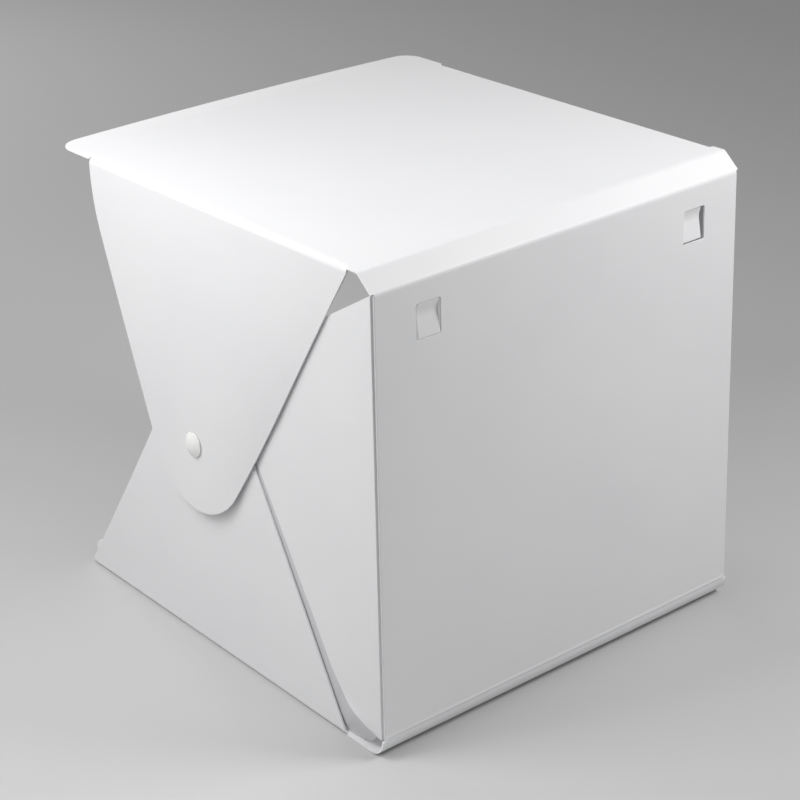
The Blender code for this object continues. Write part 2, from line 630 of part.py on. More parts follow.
inlet = strip_piece('light_strip_inlet', lying_block(INLET_LENGTH, INLET_WIDTH, INLET_HEIGHT,
                                                     INLET_CORNER_R, INLET_MIDDLE), INLET_METAL)
mouth_middle = (INLET_MIDDLE[0] - INLET_WALL - OVERRUN / 2, *INLET_MIDDLE[1:])
cut(inlet, cutting('inlet_mouth', lying_block(INLET_LENGTH + OVERRUN, INLET_WIDTH - 2 * INLET_WALL,
                                              INLET_HEIGHT - 2 * INLET_WALL,
                                              INLET_CORNER_R - INLET_WALL, mouth_middle)))
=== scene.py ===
# Light tent cube, dressed piece by piece in the order in which the box is put together: one die-cut sheet of
# white polypropylene, folded up, held by two press studs, with a light strip under its lid.
import math

import bmesh
import bpy
from mathutils import Matrix, Vector


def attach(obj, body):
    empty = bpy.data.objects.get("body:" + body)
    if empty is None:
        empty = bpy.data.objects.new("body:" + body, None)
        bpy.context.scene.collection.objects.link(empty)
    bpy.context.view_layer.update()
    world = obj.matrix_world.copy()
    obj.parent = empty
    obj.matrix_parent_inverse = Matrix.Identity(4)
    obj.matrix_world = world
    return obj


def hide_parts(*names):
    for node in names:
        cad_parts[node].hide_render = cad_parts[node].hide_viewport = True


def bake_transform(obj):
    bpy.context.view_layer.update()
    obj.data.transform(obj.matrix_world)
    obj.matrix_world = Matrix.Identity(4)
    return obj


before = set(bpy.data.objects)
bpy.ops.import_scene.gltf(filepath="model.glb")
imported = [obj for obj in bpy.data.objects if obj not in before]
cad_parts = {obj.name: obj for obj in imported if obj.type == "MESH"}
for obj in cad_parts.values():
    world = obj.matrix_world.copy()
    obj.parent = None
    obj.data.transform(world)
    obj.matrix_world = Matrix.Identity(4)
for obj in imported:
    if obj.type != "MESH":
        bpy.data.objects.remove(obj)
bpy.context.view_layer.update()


# Floor of the box. Extruded polypropylene sheet, 0.9 mm thick, die-cut and creased in one stroke.
# It lies flat and rises at the rear in a soft bend, up to the score line where the back begins.
WIDTH = 0.226
DEPTH = 0.244
HEIGHT = 0.235
SHEET = 0.0009
FRONT = -DEPTH / 2
BACK = DEPTH / 2
SIDE = WIDTH / 2
FOOT_BEND_R = 0.0097
FOOT_FOLD_R = 0.002
FLOOR_EDGE = SIDE - FOOT_FOLD_R
FLOOR_CORNER_R = 0.002
FLOOR_FLAP_BASE = DEPTH - FOOT_BEND_R - 0.0173
RELIEF = 0.0006
CUT_ROUND = 0.00018
COLUMNS = 24
BEND_STEPS = 16
FOLD_STEPS = 8
CORNER_STEPS = 8
WELD = 1e-6
ROUNDED_FROM = math.radians(50)
SHEET_WHITE = "EDEDEE"
SHEET_GREY = "E6E6E8"
CUT_EDGE_PAINTED_GLOW = "F6F6F6"


def linear(code):
    """Linear colour of an sRGB hex value."""
    parts = [int(code[place:place + 2], 16) / 255 for place in (0, 2, 4)]
    return (*[part / 12.92 if part <= 0.04045 else ((part + 0.055) / 1.055) ** 2.4 for part in parts],
            1.0)


def add(tree, kind, settings=None, inputs=None):
    """A node with its settings, and each of its inputs given a value or linked to a socket."""
    made = tree.nodes.new(kind)
    for name, value in (settings or {}).items():
        setattr(made, name, value)
    for key, value in (inputs or {}).items():
        if isinstance(value, bpy.types.NodeSocket):
            tree.links.new(value, made.inputs[key])
        else:
            made.inputs[key].default_value = value
    return made


def finish_named(name):
    """A new material, its tree and its Principled shader."""
    made = bpy.data.materials.new(name)
    made.use_nodes = True
    return made, made.node_tree, made.node_tree.nodes["Principled BSDF"]


# Satin polypropylene sheet: the extruder's embossed roll leaves a fine grain that spreads highlights wide.
# The grain is 0.3 mm, drawn at 0.6 mm so that it shows, and the sheet itself is wavy over some 70 mm.
POLYPROPYLENE_IOR = 1.49
EMBOSS_GRAIN = 0.0006
EMBOSS_DEPTH = 0.00005
SHEET_WAVE = 0.07
WAVE_DEPTH = 0.0012
white_sheet, tree, shader = finish_named("satin_polypropylene_sheet")
place = add(tree, "ShaderNodeTexCoord").outputs["Object"]
grain = add(tree, "ShaderNodeTexNoise", None, {"Vector": place, "Scale": 1 / EMBOSS_GRAIN, "Detail": 2.0})
wave = add(tree, "ShaderNodeTexNoise", None, {"Vector": place, "Scale": 1 / SHEET_WAVE, "Detail": 2.0})
tint = add(tree, "ShaderNodeMix", {"data_type": "RGBA"},
           {"Factor": wave.outputs["Fac"], "A": linear(SHEET_WHITE), "B": linear(SHEET_GREY)})
satin = add(tree, "ShaderNodeMapRange", None, {"Value": wave.outputs["Fac"], "To Min": 0.40, "To Max": 0.50})
ripple = add(tree, "ShaderNodeBump", None,
             {"Strength": 0.25, "Distance": WAVE_DEPTH, "Height": wave.outputs["Fac"]})
emboss = add(tree, "ShaderNodeBump", None,
             {"Strength": 0.12, "Distance": EMBOSS_DEPTH, "Height": grain.outputs["Fac"],
              "Normal": ripple.outputs["Normal"]})
tree.links.new(tint.outputs[2], shader.inputs["Base Color"])
tree.links.new(satin.outputs["Result"], shader.inputs["Roughness"])
tree.links.new(emboss.outputs["Normal"], shader.inputs["Normal"])
shader.inputs["IOR"].default_value = POLYPROPYLENE_IOR

# Turned-in margins of the same sheet, coloured greyer than the rest of it: painted shade for the shade that
# falls on them beside the lower flap's edge.
MARGIN_PAINTED_SHADE = "D0D0D3"
MARGIN_PAINTED_SHADE_GREY = "CACACD"
margin_with_painted_shade, tree, shader = finish_named("polypropylene_margin_painted_shade")
place = add(tree, "ShaderNodeTexCoord").outputs["Object"]
grain = add(tree, "ShaderNodeTexNoise", None, {"Vector": place, "Scale": 1 / EMBOSS_GRAIN, "Detail": 2.0})
wave = add(tree, "ShaderNodeTexNoise", None, {"Vector": place, "Scale": 1 / SHEET_WAVE, "Detail": 2.0})
tint = add(tree, "ShaderNodeMix", {"data_type": "RGBA"},
           {"Factor": wave.outputs["Fac"], "A": linear(MARGIN_PAINTED_SHADE), "B": linear(MARGIN_PAINTED_SHADE_GREY)})
satin = add(tree, "ShaderNodeMapRange", None, {"Value": wave.outputs["Fac"], "To Min": 0.36, "To Max": 0.46})
emboss = add(tree, "ShaderNodeBump", None,
             {"Strength": 0.08, "Distance": EMBOSS_DEPTH, "Height": grain.outputs["Fac"]})
tree.links.new(tint.outputs[2], shader.inputs["Base Color"])
tree.links.new(satin.outputs["Result"], shader.inputs["Roughness"])
tree.links.new(emboss.outputs["Normal"], shader.inputs["Normal"])
shader.inputs["IOR"].default_value = POLYPROPYLENE_IOR

# The die leaves the cut edge smooth. Its colour is painted a little brighter than the sheet, a painted glow
# for the light that comes out of the sheet there.
EDGE_STREAK = 0.001
cut_edge, tree, shader = finish_named("die_cut_polypropylene_edge")
place = add(tree, "ShaderNodeTexCoord").outputs["Object"]
streak = add(tree, "ShaderNodeTexNoise", None, {"Vector": place, "Scale": 1 / EDGE_STREAK, "Detail": 1.0})
rub = add(tree, "ShaderNodeMapRange", None, {"Value": streak.outputs["Fac"], "To Min": 0.30, "To Max": 0.42})
tree.links.new(rub.outputs["Result"], shader.inputs["Roughness"])
shader.inputs["Base Color"].default_value = linear(CUT_EDGE_PAINTED_GLOW)
shader.inputs["IOR"].default_value = POLYPROPYLENE_IOR


def arc(centre, radius, start, end, steps):
    """Points along an arc of a circle, as pairs."""
    angles = [start + (end - start) * step / steps for step in range(steps + 1)]
    return [(centre[0] + radius * math.cos(a), centre[1] + radius * math.sin(a)) for a in angles]


def spread(left, right, count=COLUMNS):
    """A row of points from one point to another."""
    return [Vector(left).lerp(Vector(right), step / count) for step in range(count + 1)]


# The folded sheet stands a little out of square: how far each corner lies from its place in the square box,
# by side (1 is right), depth (1 is rear) and height (1 is top). The two corners at the foot of the back stay
# put, for the back to fold on its score line there. The lid's front lip also springs up a little.
CORNER_MOVES = {(1, 0, 0): (-0.0012, -0.0050, 0), (0, 0, 0): (0.0012, -0.0050, 0),
                (1, 0, 1): (0, 0.0015, 0), (0, 0, 1): (0.0003, -0.0022, 0.0003),
                (1, 1, 1): (-0.0010, 0.0008, 0.0002), (0, 1, 1): (0.0016, -0.0022, 0.0014)}
LIP_RISE = 0.0013
LIP_DEPTH = 0.016
LID_FROM = 0.99


def hump(share):
    """1 half way along and 0 at both ends."""
    return 4 * share * (1 - share)


def bowed(point):
    """Where a point of the square box lies on the folded one.

    A side wall moves at its edges and hardly at its middle, so the press studs stay where they are.
    """
    x, y, z = point
    across, along, up = (x + SIDE) / WIDTH, (y - FRONT) / DEPTH, z / HEIGHT
    hold = 1 - hump(along) * hump(up)
    moved = Vector(point)
    for (right, rear, top), move in CORNER_MOVES.items():
        share = (across if right else 1 - across) * (along if rear else 1 - along) * (up if top else 1 - up)
        moved += Vector(move) * share * hold
    lip = max(0, 1 - (y - FRONT) / LIP_DEPTH) if up > LID_FROM else 0
    moved.z += LIP_RISE * hump(across) * lip ** 2
    return moved


def shown(name, bm, *finishes):
    """A new smooth piece from a mesh in the making."""
    shape = bpy.data.meshes.new(name)
    bm.to_mesh(shape)
    bm.free()
    shape.shade_smooth()
    for finish in finishes:
        shape.materials.append(finish)
    made = bpy.data.objects.new(name, shape)
    bpy.context.scene.collection.objects.link(made)
    return made


def punch(made, cutter):
    """Have one piece cut its shape out of another."""
    cut = made.modifiers.new("punch", "BOOLEAN")
    cut.operation = "DIFFERENCE"
    cut.solver = "EXACT"
    cut.object = cutter


def final_mesh(made):
    """A piece's mesh with all its modifiers put in."""
    return bpy.data.meshes.new_from_object(made.evaluated_get(bpy.context.evaluated_depsgraph_get()))


def soften(made, width):
    """Round a piece's edges a little, keep its faces flat to the eye, and put all that into its mesh."""
    rounding = made.modifiers.new("rounding", "BEVEL")
    rounding.width = width
    rounding.segments = 2
    rounding.limit_method = "ANGLE"
    rounding.angle_limit = ROUNDED_FROM
    flatness = made.modifiers.new("flatness", "WEIGHTED_NORMAL")
    flatness.keep_sharp = True
    shape = final_mesh(made)
    made.modifiers.clear()
    made.data = shape


def die_cut(name, rows, outward, holes=(), painted_shade_from=math.inf):
    """A sheet piece from rows of points on its outer face, with its holes and its rounded cut edges.

    From the column given by the last argument on, each row crosses a turned-in margin, whose finish carries
    painted shade.
    """
    bm = bmesh.new()
    grid = [[bm.verts.new(bowed(point)) for point in row] for row in rows]
    for near, far in zip(grid, grid[1:]):
        for number, corners in enumerate(zip(near, near[1:], far[1:], far)):
            # Margin faces take the finish whose colour carries painted shade.
            bm.faces.new(corners).material_index = 2 if number >= painted_shade_from else 0
    bmesh.ops.remove_doubles(bm, verts=bm.verts, dist=WELD)
    bm.normal_update()
    facing = sum((face.normal * face.calc_area() for face in bm.faces), Vector())
    if facing.dot(Vector(outward)) < 0:
        bmesh.ops.reverse_faces(bm, faces=bm.faces)
    made = shown(name, bm, white_sheet, cut_edge, margin_with_painted_shade, cut_edge)
    thicken = made.modifiers.new("thickness", "SOLIDIFY")
    thicken.thickness = SHEET
    thicken.offset = -1
    thicken.use_even_offset = True
    thicken.material_offset_rim = 1
    for hole in holes:
        punch(made, hole)
    soften(made, CUT_ROUND)
    for hole in holes:
        bpy.data.objects.remove(hole)
    return made


corner = arc((FLOOR_EDGE - FLOOR_CORNER_R, FRONT + FLOOR_CORNER_R), FLOOR_CORNER_R,
             -math.pi / 2, 0, CORNER_STEPS)
corner_end = corner[-1][1]
flap_end = FRONT + FLOOR_FLAP_BASE + RELIEF
side_places = [corner_end + (flap_end - RELIEF - corner_end) * step / COLUMNS
               for step in range(1, COLUMNS + 1)]
floor_edge = corner + [(FLOOR_EDGE, y) for y in side_places] + [(SIDE, flap_end)]
foot_bend = arc((BACK - FOOT_BEND_R, FOOT_BEND_R), FOOT_BEND_R, -math.pi / 2, 0, BEND_STEPS)
floor_rows = [spread((-x, y, 0), (x, y, 0)) for x, y in floor_edge]
floor_rows += [spread((-SIDE, y, z), (SIDE, y, z)) for y, z in foot_bend]
floor_sheet = die_cut("floor_sheet", floor_rows, (0, 1, -1))
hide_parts("floor_panel")
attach(floor_sheet, "floor")


# Back of the box, with two small windows near its top and the slope that leads over to the lid.
# Same sheet, hinged at a score line above the foot bend, which leaves a fine raised bead. The die punches the
# windows out round their tongues.
CROWN_REACH = 0.0105
CROWN_LEAN = math.radians(41)
CROWN_KNEE_R = 0.0035
BACK_FOLD_R = 0.0015
BACK_EDGE = SIDE - BACK_FOLD_R
BACK_FLAP_TOP = 0.2267
TONGUE_X = SIDE - 0.0314
TONGUE_BASE = 0.2003
TONGUE_WIDTH = 0.0122
TONGUE_LENGTH = 0.0160
WINDOW_SIDE_GAP = 0.0009
WINDOW_TOP_GAP = 0.0007
WINDOW_CORNER_R = 0.001
PUNCH_REACH = 0.006

# Outline of the bead: how far up from the score line, and how far proud of the sheet.
SCORE_BEAD = ((0.0, 0.0), (0.0005, 0.0), (0.0009, 0.0002), (0.0013, 0.00035), (0.0017, 0.00026),
              (0.0023, 0.00006), (0.0031, 0.0))


def rounded_block(size, corner_r, axis, middle=(0, 0, 0), finish_index=0):
    """A block in the making, with the four edges that run along one of its axes rounded."""
    bm = bmesh.new()
    bmesh.ops.create_cube(bm, size=1, matrix=Matrix.Translation(middle) @ Matrix.Diagonal((*size, 1)))
    along = [edge for edge in bm.edges if abs((edge.verts[0].co - edge.verts[1].co).normalized()[axis]) > 0.5]
    bmesh.ops.bevel(bm, geom=along, offset=corner_r, segments=CORNER_STEPS, profile=0.5, affect="EDGES")
    for face in bm.faces:
        face.material_index = finish_index
    return bm


crown_turn = math.pi / 2 - CROWN_LEAN
crown_run = CROWN_REACH - CROWN_KNEE_R * math.tan(CROWN_LEAN / 2)
crown_low = HEIGHT - crown_run * math.tan(CROWN_LEAN) - CROWN_KNEE_R * math.tan(crown_turn / 2)
knee_low = arc((BACK - CROWN_KNEE_R, crown_low), CROWN_KNEE_R, 0, crown_turn, BEND_STEPS)
knee_high = arc((BACK - CROWN_REACH, HEIGHT - CROWN_KNEE_R), CROWN_KNEE_R,
                crown_turn, math.pi / 2, BEND_STEPS)
notch = BACK_FLAP_TOP + RELIEF
narrow = [(BACK + proud, FOOT_BEND_R + up) for up, proud in SCORE_BEAD]
narrow += [(BACK, FOOT_BEND_R + (crown_low - FOOT_BEND_R) * step / COLUMNS) for step in range(1, COLUMNS)]
narrow += [point for point in knee_low if point[1] < notch]
wide = [point for point in knee_low + knee_high if point[1] > notch]
back_rows = [spread((-BACK_EDGE, y, z), (BACK_EDGE, y, z)) for y, z in narrow]
back_rows += [spread((-SIDE, y, z), (SIDE, y, z)) for y, z in wide]
window_height = TONGUE_LENGTH + WINDOW_TOP_GAP
window_size = (TONGUE_WIDTH + 2 * WINDOW_SIDE_GAP, PUNCH_REACH, window_height)
window_holes = []
for x in (-TONGUE_X, TONGUE_X):
    window = rounded_block(window_size, WINDOW_CORNER_R, 1, (x, BACK, TONGUE_BASE + window_height / 2), 1)
    window_holes.append(shown("window", window, white_sheet, cut_edge))
back_sheet = die_cut("back_sheet", back_rows, (0, 1, 1), window_holes)
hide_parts("back_panel")
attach(back_sheet, "back")


# Hook tongues, one in each window. Part of the back's own sheet, still joined to it at the foot.
# Each leans in to a knee and comes back to the sheet at its tip, so that a backdrop can hang on it.
TONGUE_KNEE = 0.0107
TONGUE_BULGE = 0.0018
TONGUE_CORNER_R = 0.002
TONGUE_TIP_SET = 0.0003
TONGUE_STEPS = 8
KNEE_R = 0.004


def tongue_profile():
    """Depth and height along a tongue, from its root over its rounded knee to its tip."""
    knee = Vector((-TONGUE_BULGE, TONGUE_KNEE))
    tip = Vector((-TONGUE_TIP_SET, TONGUE_LENGTH))
    before = knee + (Vector((0, 0)) - knee).normalized() * KNEE_R / 2
    after = knee + (tip - knee).normalized() * KNEE_R / 2
    path = [Vector((0, 0)).lerp(before, step / TONGUE_STEPS) for step in range(TONGUE_STEPS)]
    for step in range(TONGUE_STEPS + 1):
        share = step / TONGUE_STEPS
        path.append(before.lerp(knee, share).lerp(knee.lerp(after, share), share))
    return path + [after.lerp(tip, step / TONGUE_STEPS) for step in range(1, TONGUE_STEPS + 1)]


def tongue_rows(middle_x):
    """Rows across a tongue, narrowing where its tip corners are rounded."""
    rows = []
    for depth, up in tongue_profile():
        into_corner = max(0, up - (TONGUE_LENGTH - TONGUE_CORNER_R))
        half = (TONGUE_WIDTH / 2 - TONGUE_CORNER_R
                + math.sqrt(max(0, TONGUE_CORNER_R ** 2 - into_corner ** 2)))
        rows.append(spread((middle_x - half, BACK + depth, TONGUE_BASE + up),
                           (middle_x + half, BACK + depth, TONGUE_BASE + up), TONGUE_STEPS))
    return rows


SIDES = {"right": 1, "left": -1}
for side, sign in SIDES.items():
    tongue = die_cut(f"tongue_{side}", tongue_rows(sign * TONGUE_X), (0, 1, 0))
    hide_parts(f"hook_tongue_{side}")
    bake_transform(tongue)


# Lid. Same sheet, from the slope at the rear to the open front, where its two corners are rounded.
# It is stepped in at both sides where the upper flaps fold down from it.
LID_FOLD_R = 0.003
LID_EDGE = SIDE - LID_FOLD_R
LID_CORNER_R = 0.0105
LID_FLAP_REAR = DEPTH - CROWN_REACH - 0.0065
TIP_R = 0.035
STUD = (FLOOR_FLAP_BASE / 2, 0.1115)
LID_FLAP_FRONT_LEAN = math.radians(68)
LID_FLAP_ROOT_R = 0.1


def touch(corner_point, centre, radius, turn):
    """Where a straight edge from a corner meets a round tip, passing it on the side that turn tells."""
    off_x, off_z = centre[0] - corner_point[0], centre[1] - corner_point[1]
    reach = math.hypot(off_x, off_z)
    lean = math.atan2(off_z, off_x) + turn * math.asin(radius / reach)
    length = math.sqrt(reach ** 2 - radius ** 2)
    return corner_point[0] + length * math.cos(lean), corner_point[1] + length * math.sin(lean)


def half_chord(radius, off_centre):
    """Half the width of a circle at a distance from its centre."""
    return math.sqrt(max(0, radius ** 2 - off_centre ** 2))


def straight(low, high, height):
    """Place on a straight edge from a low point to a high one, at a height."""
    return low[0] + (high[0] - low[0]) * (height - low[1]) / (high[1] - low[1])


TOP_FRONT_TOUCH = (STUD[0] - TIP_R * math.sin(LID_FLAP_FRONT_LEAN),
                   STUD[1] - TIP_R * math.cos(LID_FLAP_FRONT_LEAN))
TOP_REAR_CORNER = (LID_FLAP_REAR, HEIGHT - LID_FOLD_R)
TOP_REAR_TOUCH = touch(TOP_REAR_CORNER, STUD, TIP_R, 1)
TOP_TURN = HEIGHT - LID_FLAP_ROOT_R * math.cos(LID_FLAP_FRONT_LEAN)


def top_flap_front(height):
    """Distance of the upper flap's front edge from the front of the box, at a height."""
    if height < TOP_FRONT_TOUCH[1]:
        return STUD[0] - half_chord(TIP_R, height - STUD[1])
    run = 1 / math.tan(LID_FLAP_FRONT_LEAN)
    if height < TOP_TURN:
        return TOP_FRONT_TOUCH[0] - (height - TOP_FRONT_TOUCH[1]) * run
    turn_place = TOP_FRONT_TOUCH[0] - (TOP_TURN - TOP_FRONT_TOUCH[1]) * run
    middle = turn_place + LID_FLAP_ROOT_R * math.sin(LID_FLAP_FRONT_LEAN)
    return middle - half_chord(LID_FLAP_ROOT_R, HEIGHT - height)


def top_flap_rear(height):
    """Distance of the upper flap's rear edge from the front of the box, at a height."""
    if height < TOP_REAR_TOUCH[1]:
        return STUD[0] + half_chord(TIP_R, height - STUD[1])
    return LID_FLAP_REAR if height > TOP_REAR_CORNER[1] else straight(TOP_REAR_TOUCH, TOP_REAR_CORNER, height)


corner = arc((SIDE - LID_CORNER_R, FRONT + LID_CORNER_R), LID_CORNER_R, -math.pi / 2, 0, CORNER_STEPS)
root_front = FRONT + top_flap_front(HEIGHT)
root_rear = FRONT + LID_FLAP_REAR
root_places = [root_front + (root_rear - root_front) * step / COLUMNS for step in range(COLUMNS + 1)]
lid_edge = corner + [(SIDE, root_front - RELIEF), (LID_EDGE, root_front - RELIEF / 2)]
lid_edge += [(LID_EDGE, y) for y in root_places]
lid_edge += [(LID_EDGE, root_rear + RELIEF / 2), (SIDE, root_rear + RELIEF), (SIDE, BACK - CROWN_REACH)]
lid_sheet = die_cut("lid_sheet", [spread((-x, y, HEIGHT), (x, y, HEIGHT)) for x, y in lid_edge], (0, 0, 1))
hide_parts("lid_panel")
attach(lid_sheet, "lid")


# Upper flaps of the side walls. Same sheet, folded down from the lid along a creased line. Each leans out
# a little over the lower flap, because the press stud stands between the two, and its rear edge curls in
# towards the rear flap.
FLAP_GAP = 0.0037
REAR_CURL = 0.0030
CURL_FROM = 0.6
CURL_PEAK = 27 / 4
LEAN = math.asin((FLAP_GAP + SHEET) / (HEIGHT - LID_FOLD_R - FOOT_FOLD_R))
FLAP_ROWS = 30
TIP_ROWS = 28


def top_face_x(height):
    """Outer face of an upper flap, at a height."""
    start = (LID_EDGE + LID_FOLD_R * math.cos(LEAN), HEIGHT - LID_FOLD_R + LID_FOLD_R * math.sin(LEAN))
    return start[0] + (start[1] - height) * math.tan(LEAN)


def rear_curl(height, share):
    """How far an upper flap curls in, at a height and a share of the way to its rear edge.

    It doesn't curl at its fold or at its tip, and most at two thirds of the way down.
    """
    down = max(0, (HEIGHT - LID_FOLD_R - height) / (HEIGHT - LID_FOLD_R - STUD[1] + TIP_R))
    across = max(0, share - CURL_FROM) / (1 - CURL_FROM)
    return REAR_CURL * CURL_PEAK * down ** 2 * max(0, 1 - down) * across ** 2


def top_flap_rows(sign):
    """Rows across an upper flap, from its fold at the lid down to its round tip."""
    fold = arc((LID_EDGE, HEIGHT - LID_FOLD_R), LID_FOLD_R, math.pi / 2, LEAN, FOLD_STEPS)
    start = fold[-1][1]
    heights = [start + (TOP_FRONT_TOUCH[1] - start) * step / FLAP_ROWS for step in range(1, FLAP_ROWS)]
    heights = sorted(heights + [TOP_REAR_TOUCH[1], TOP_FRONT_TOUCH[1]], reverse=True)
    first = math.asin((STUD[1] - heights[-1]) / TIP_R)
    heights += [STUD[1] - TIP_R * math.sin(first + (math.pi / 2 - first) * step / TIP_ROWS)
                for step in range(1, TIP_ROWS + 1)]
    rows = []
    for x, z in fold + [(top_face_x(z), z) for z in heights]:
        row = spread((x, FRONT + top_flap_front(z), z), (x, FRONT + top_flap_rear(z), z))
        rows.append([(sign * (point.x - rear_curl(z, step / COLUMNS)), point.y, z)
                     for step, point in enumerate(row)])
    return rows


for side, sign in SIDES.items():
    flap = die_cut(f"upper_flap_{side}", top_flap_rows(sign), (sign, 0, 0))
    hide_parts(f"top_flap_{side}")
    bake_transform(flap)


# Lower flaps of the side walls. Same sheet, folded up from the floor, with a small round ear at the front.
# Each leans in under the upper flap and ends in a round tip behind the press stud.
BOTTOM_TIP = (STUD[0] + 0.0033, STUD[1] + 0.0017)
BOTTOM_TIP_R = 0.034
EAR_R = 0.0055
EAR_PROUD = 0.0022
EAR_HEIGHT = 0.0135
EAR_ROWS = 16
BOTTOM_FRONT_TOUCH = touch((0, 0), BOTTOM_TIP, BOTTOM_TIP_R, 1)
BOTTOM_REAR_TOUCH = touch((FLOOR_FLAP_BASE, 0), BOTTOM_TIP, BOTTOM_TIP_R, -1)
BOTTOM_FRONT_LEAN = math.atan2(BOTTOM_FRONT_TOUCH[1], BOTTOM_FRONT_TOUCH[0])
EAR_HALF = half_chord(EAR_R, EAR_R - EAR_PROUD) * math.sin(BOTTOM_FRONT_LEAN)


def bottom_flap_front(height):
    """Distance of the lower flap's front edge, with its round ear, from the front of the box."""
    if height > BOTTOM_FRONT_TOUCH[1]:
        return BOTTOM_TIP[0] - half_chord(BOTTOM_TIP_R, height - BOTTOM_TIP[1])
    edge = height / math.tan(BOTTOM_FRONT_LEAN)
    if abs(height - EAR_HEIGHT) >= EAR_HALF:
        return edge
    sunk = EAR_R - EAR_PROUD
    middle = (EAR_HEIGHT / math.tan(BOTTOM_FRONT_LEAN) + sunk * math.sin(BOTTOM_FRONT_LEAN),
              EAR_HEIGHT - sunk * math.cos(BOTTOM_FRONT_LEAN))
    return min(edge, middle[0] - half_chord(EAR_R, height - middle[1]))


def bottom_flap_rear(height):
    """Distance of the lower flap's rear edge from the front of the box, at a height."""
    if height > BOTTOM_REAR_TOUCH[1]:
        return BOTTOM_TIP[0] + half_chord(BOTTOM_TIP_R, height - BOTTOM_TIP[1])
    return straight((FLOOR_FLAP_BASE, 0), BOTTOM_REAR_TOUCH, height)


def bottom_face_x(height):
    """Outer face of a lower flap, at a height."""
    start = (FLOOR_EDGE + FOOT_FOLD_R * math.cos(LEAN), FOOT_FOLD_R + FOOT_FOLD_R * math.sin(LEAN))
    return start[0] - (height - start[1]) * math.tan(LEAN)


def bottom_flap_rows(sign):
    """Rows across a lower flap, from its fold at the floor up to its round tip."""
    fold = arc((FLOOR_EDGE, FOOT_FOLD_R), FOOT_FOLD_R, -math.pi / 2, LEAN, FOLD_STEPS)
    heights = [EAR_HEIGHT + EAR_HALF * (2 * step / EAR_ROWS - 1) for step in range(EAR_ROWS + 1)]
    gap = BOTTOM_FRONT_TOUCH[1] - heights[-1]
    heights += [heights[-1] + gap * step / FLAP_ROWS for step in range(1, FLAP_ROWS)]
    heights = sorted(heights + [BOTTOM_FRONT_TOUCH[1], BOTTOM_REAR_TOUCH[1]])
    first = math.asin((heights[-1] - BOTTOM_TIP[1]) / BOTTOM_TIP_R)
    heights += [BOTTOM_TIP[1] + BOTTOM_TIP_R * math.sin(first + (math.pi / 2 - first) * step / TIP_ROWS)
                for step in range(1, TIP_ROWS + 1)]
    return [spread((sign * x, FRONT + bottom_flap_front(z), z), (sign * x, FRONT + bottom_flap_rear(z), z))
            for x, z in fold + [(bottom_face_x(z), z) for z in heights]]


for side, sign in SIDES.items():
    flap = die_cut(f"lower_flap_{side}", bottom_flap_rows(sign), (sign, 0, 0))
    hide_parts(f"bottom_flap_{side}")
    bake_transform(flap)


# Rear flaps of the side walls. Same sheet, folded forward from the back and tucked under the lower flaps.
# Each one's free edge is turned in along a slanting crease. The crease and the painted shade on the turned-in
# margin make the grey strip beside the lower flap.
BACK_FLAP_LOW = 0.0103
BACK_FLAP_TOP_LEAN = math.radians(31)
BACK_FLAP_TIP_R = 0.012
CREASE_LEAN = math.radians(55.8)
CREASE_FOOT = (DEPTH - 0.0272, 0.0214)
CREASE_HALF = 0.0004
CREASE_EASE = 2
CUSP = (DEPTH - 0.0054, 0.0106)
MARGIN_DROP = math.radians(16)
MARGIN_CURL = 1.4
MARGIN_FOOT = 0.0195
MARGIN_REACH = 0.013
MARGIN_FULL_SHARE = 0.7
TUCK = 0.0006
TOUCH_GAP = 0.00015
LAP_MOST = 0.03
LAP_STEP = 0.0002
GROOVE_DEPTH = 0.0010
GROOVE_STEPS = 14
PROUD_TO = 0.85
CREASE_STEPS = 12
PANEL_STEPS = 12
MARGIN_STEPS = 6
BACK_FLAP_REACH = (DEPTH - CREASE_FOOT[0] - BACK_FOLD_R
                   + (BOTTOM_TIP[1] - CREASE_FOOT[1]) / math.tan(CREASE_LEAN))
BACK_FLAP_LEAN = math.atan((SIDE - bottom_face_x(BOTTOM_TIP[1]) + SHEET + TUCK) / BACK_FLAP_REACH)


def back_face_x(from_front):
    """Outer face of a rear flap, at a distance from the front of the box."""
    start = (BACK_EDGE + BACK_FOLD_R * math.cos(BACK_FLAP_LEAN),
             DEPTH - BACK_FOLD_R - BACK_FOLD_R * math.sin(BACK_FLAP_LEAN))
    return start[0] - (start[1] - from_front) * math.tan(BACK_FLAP_LEAN)


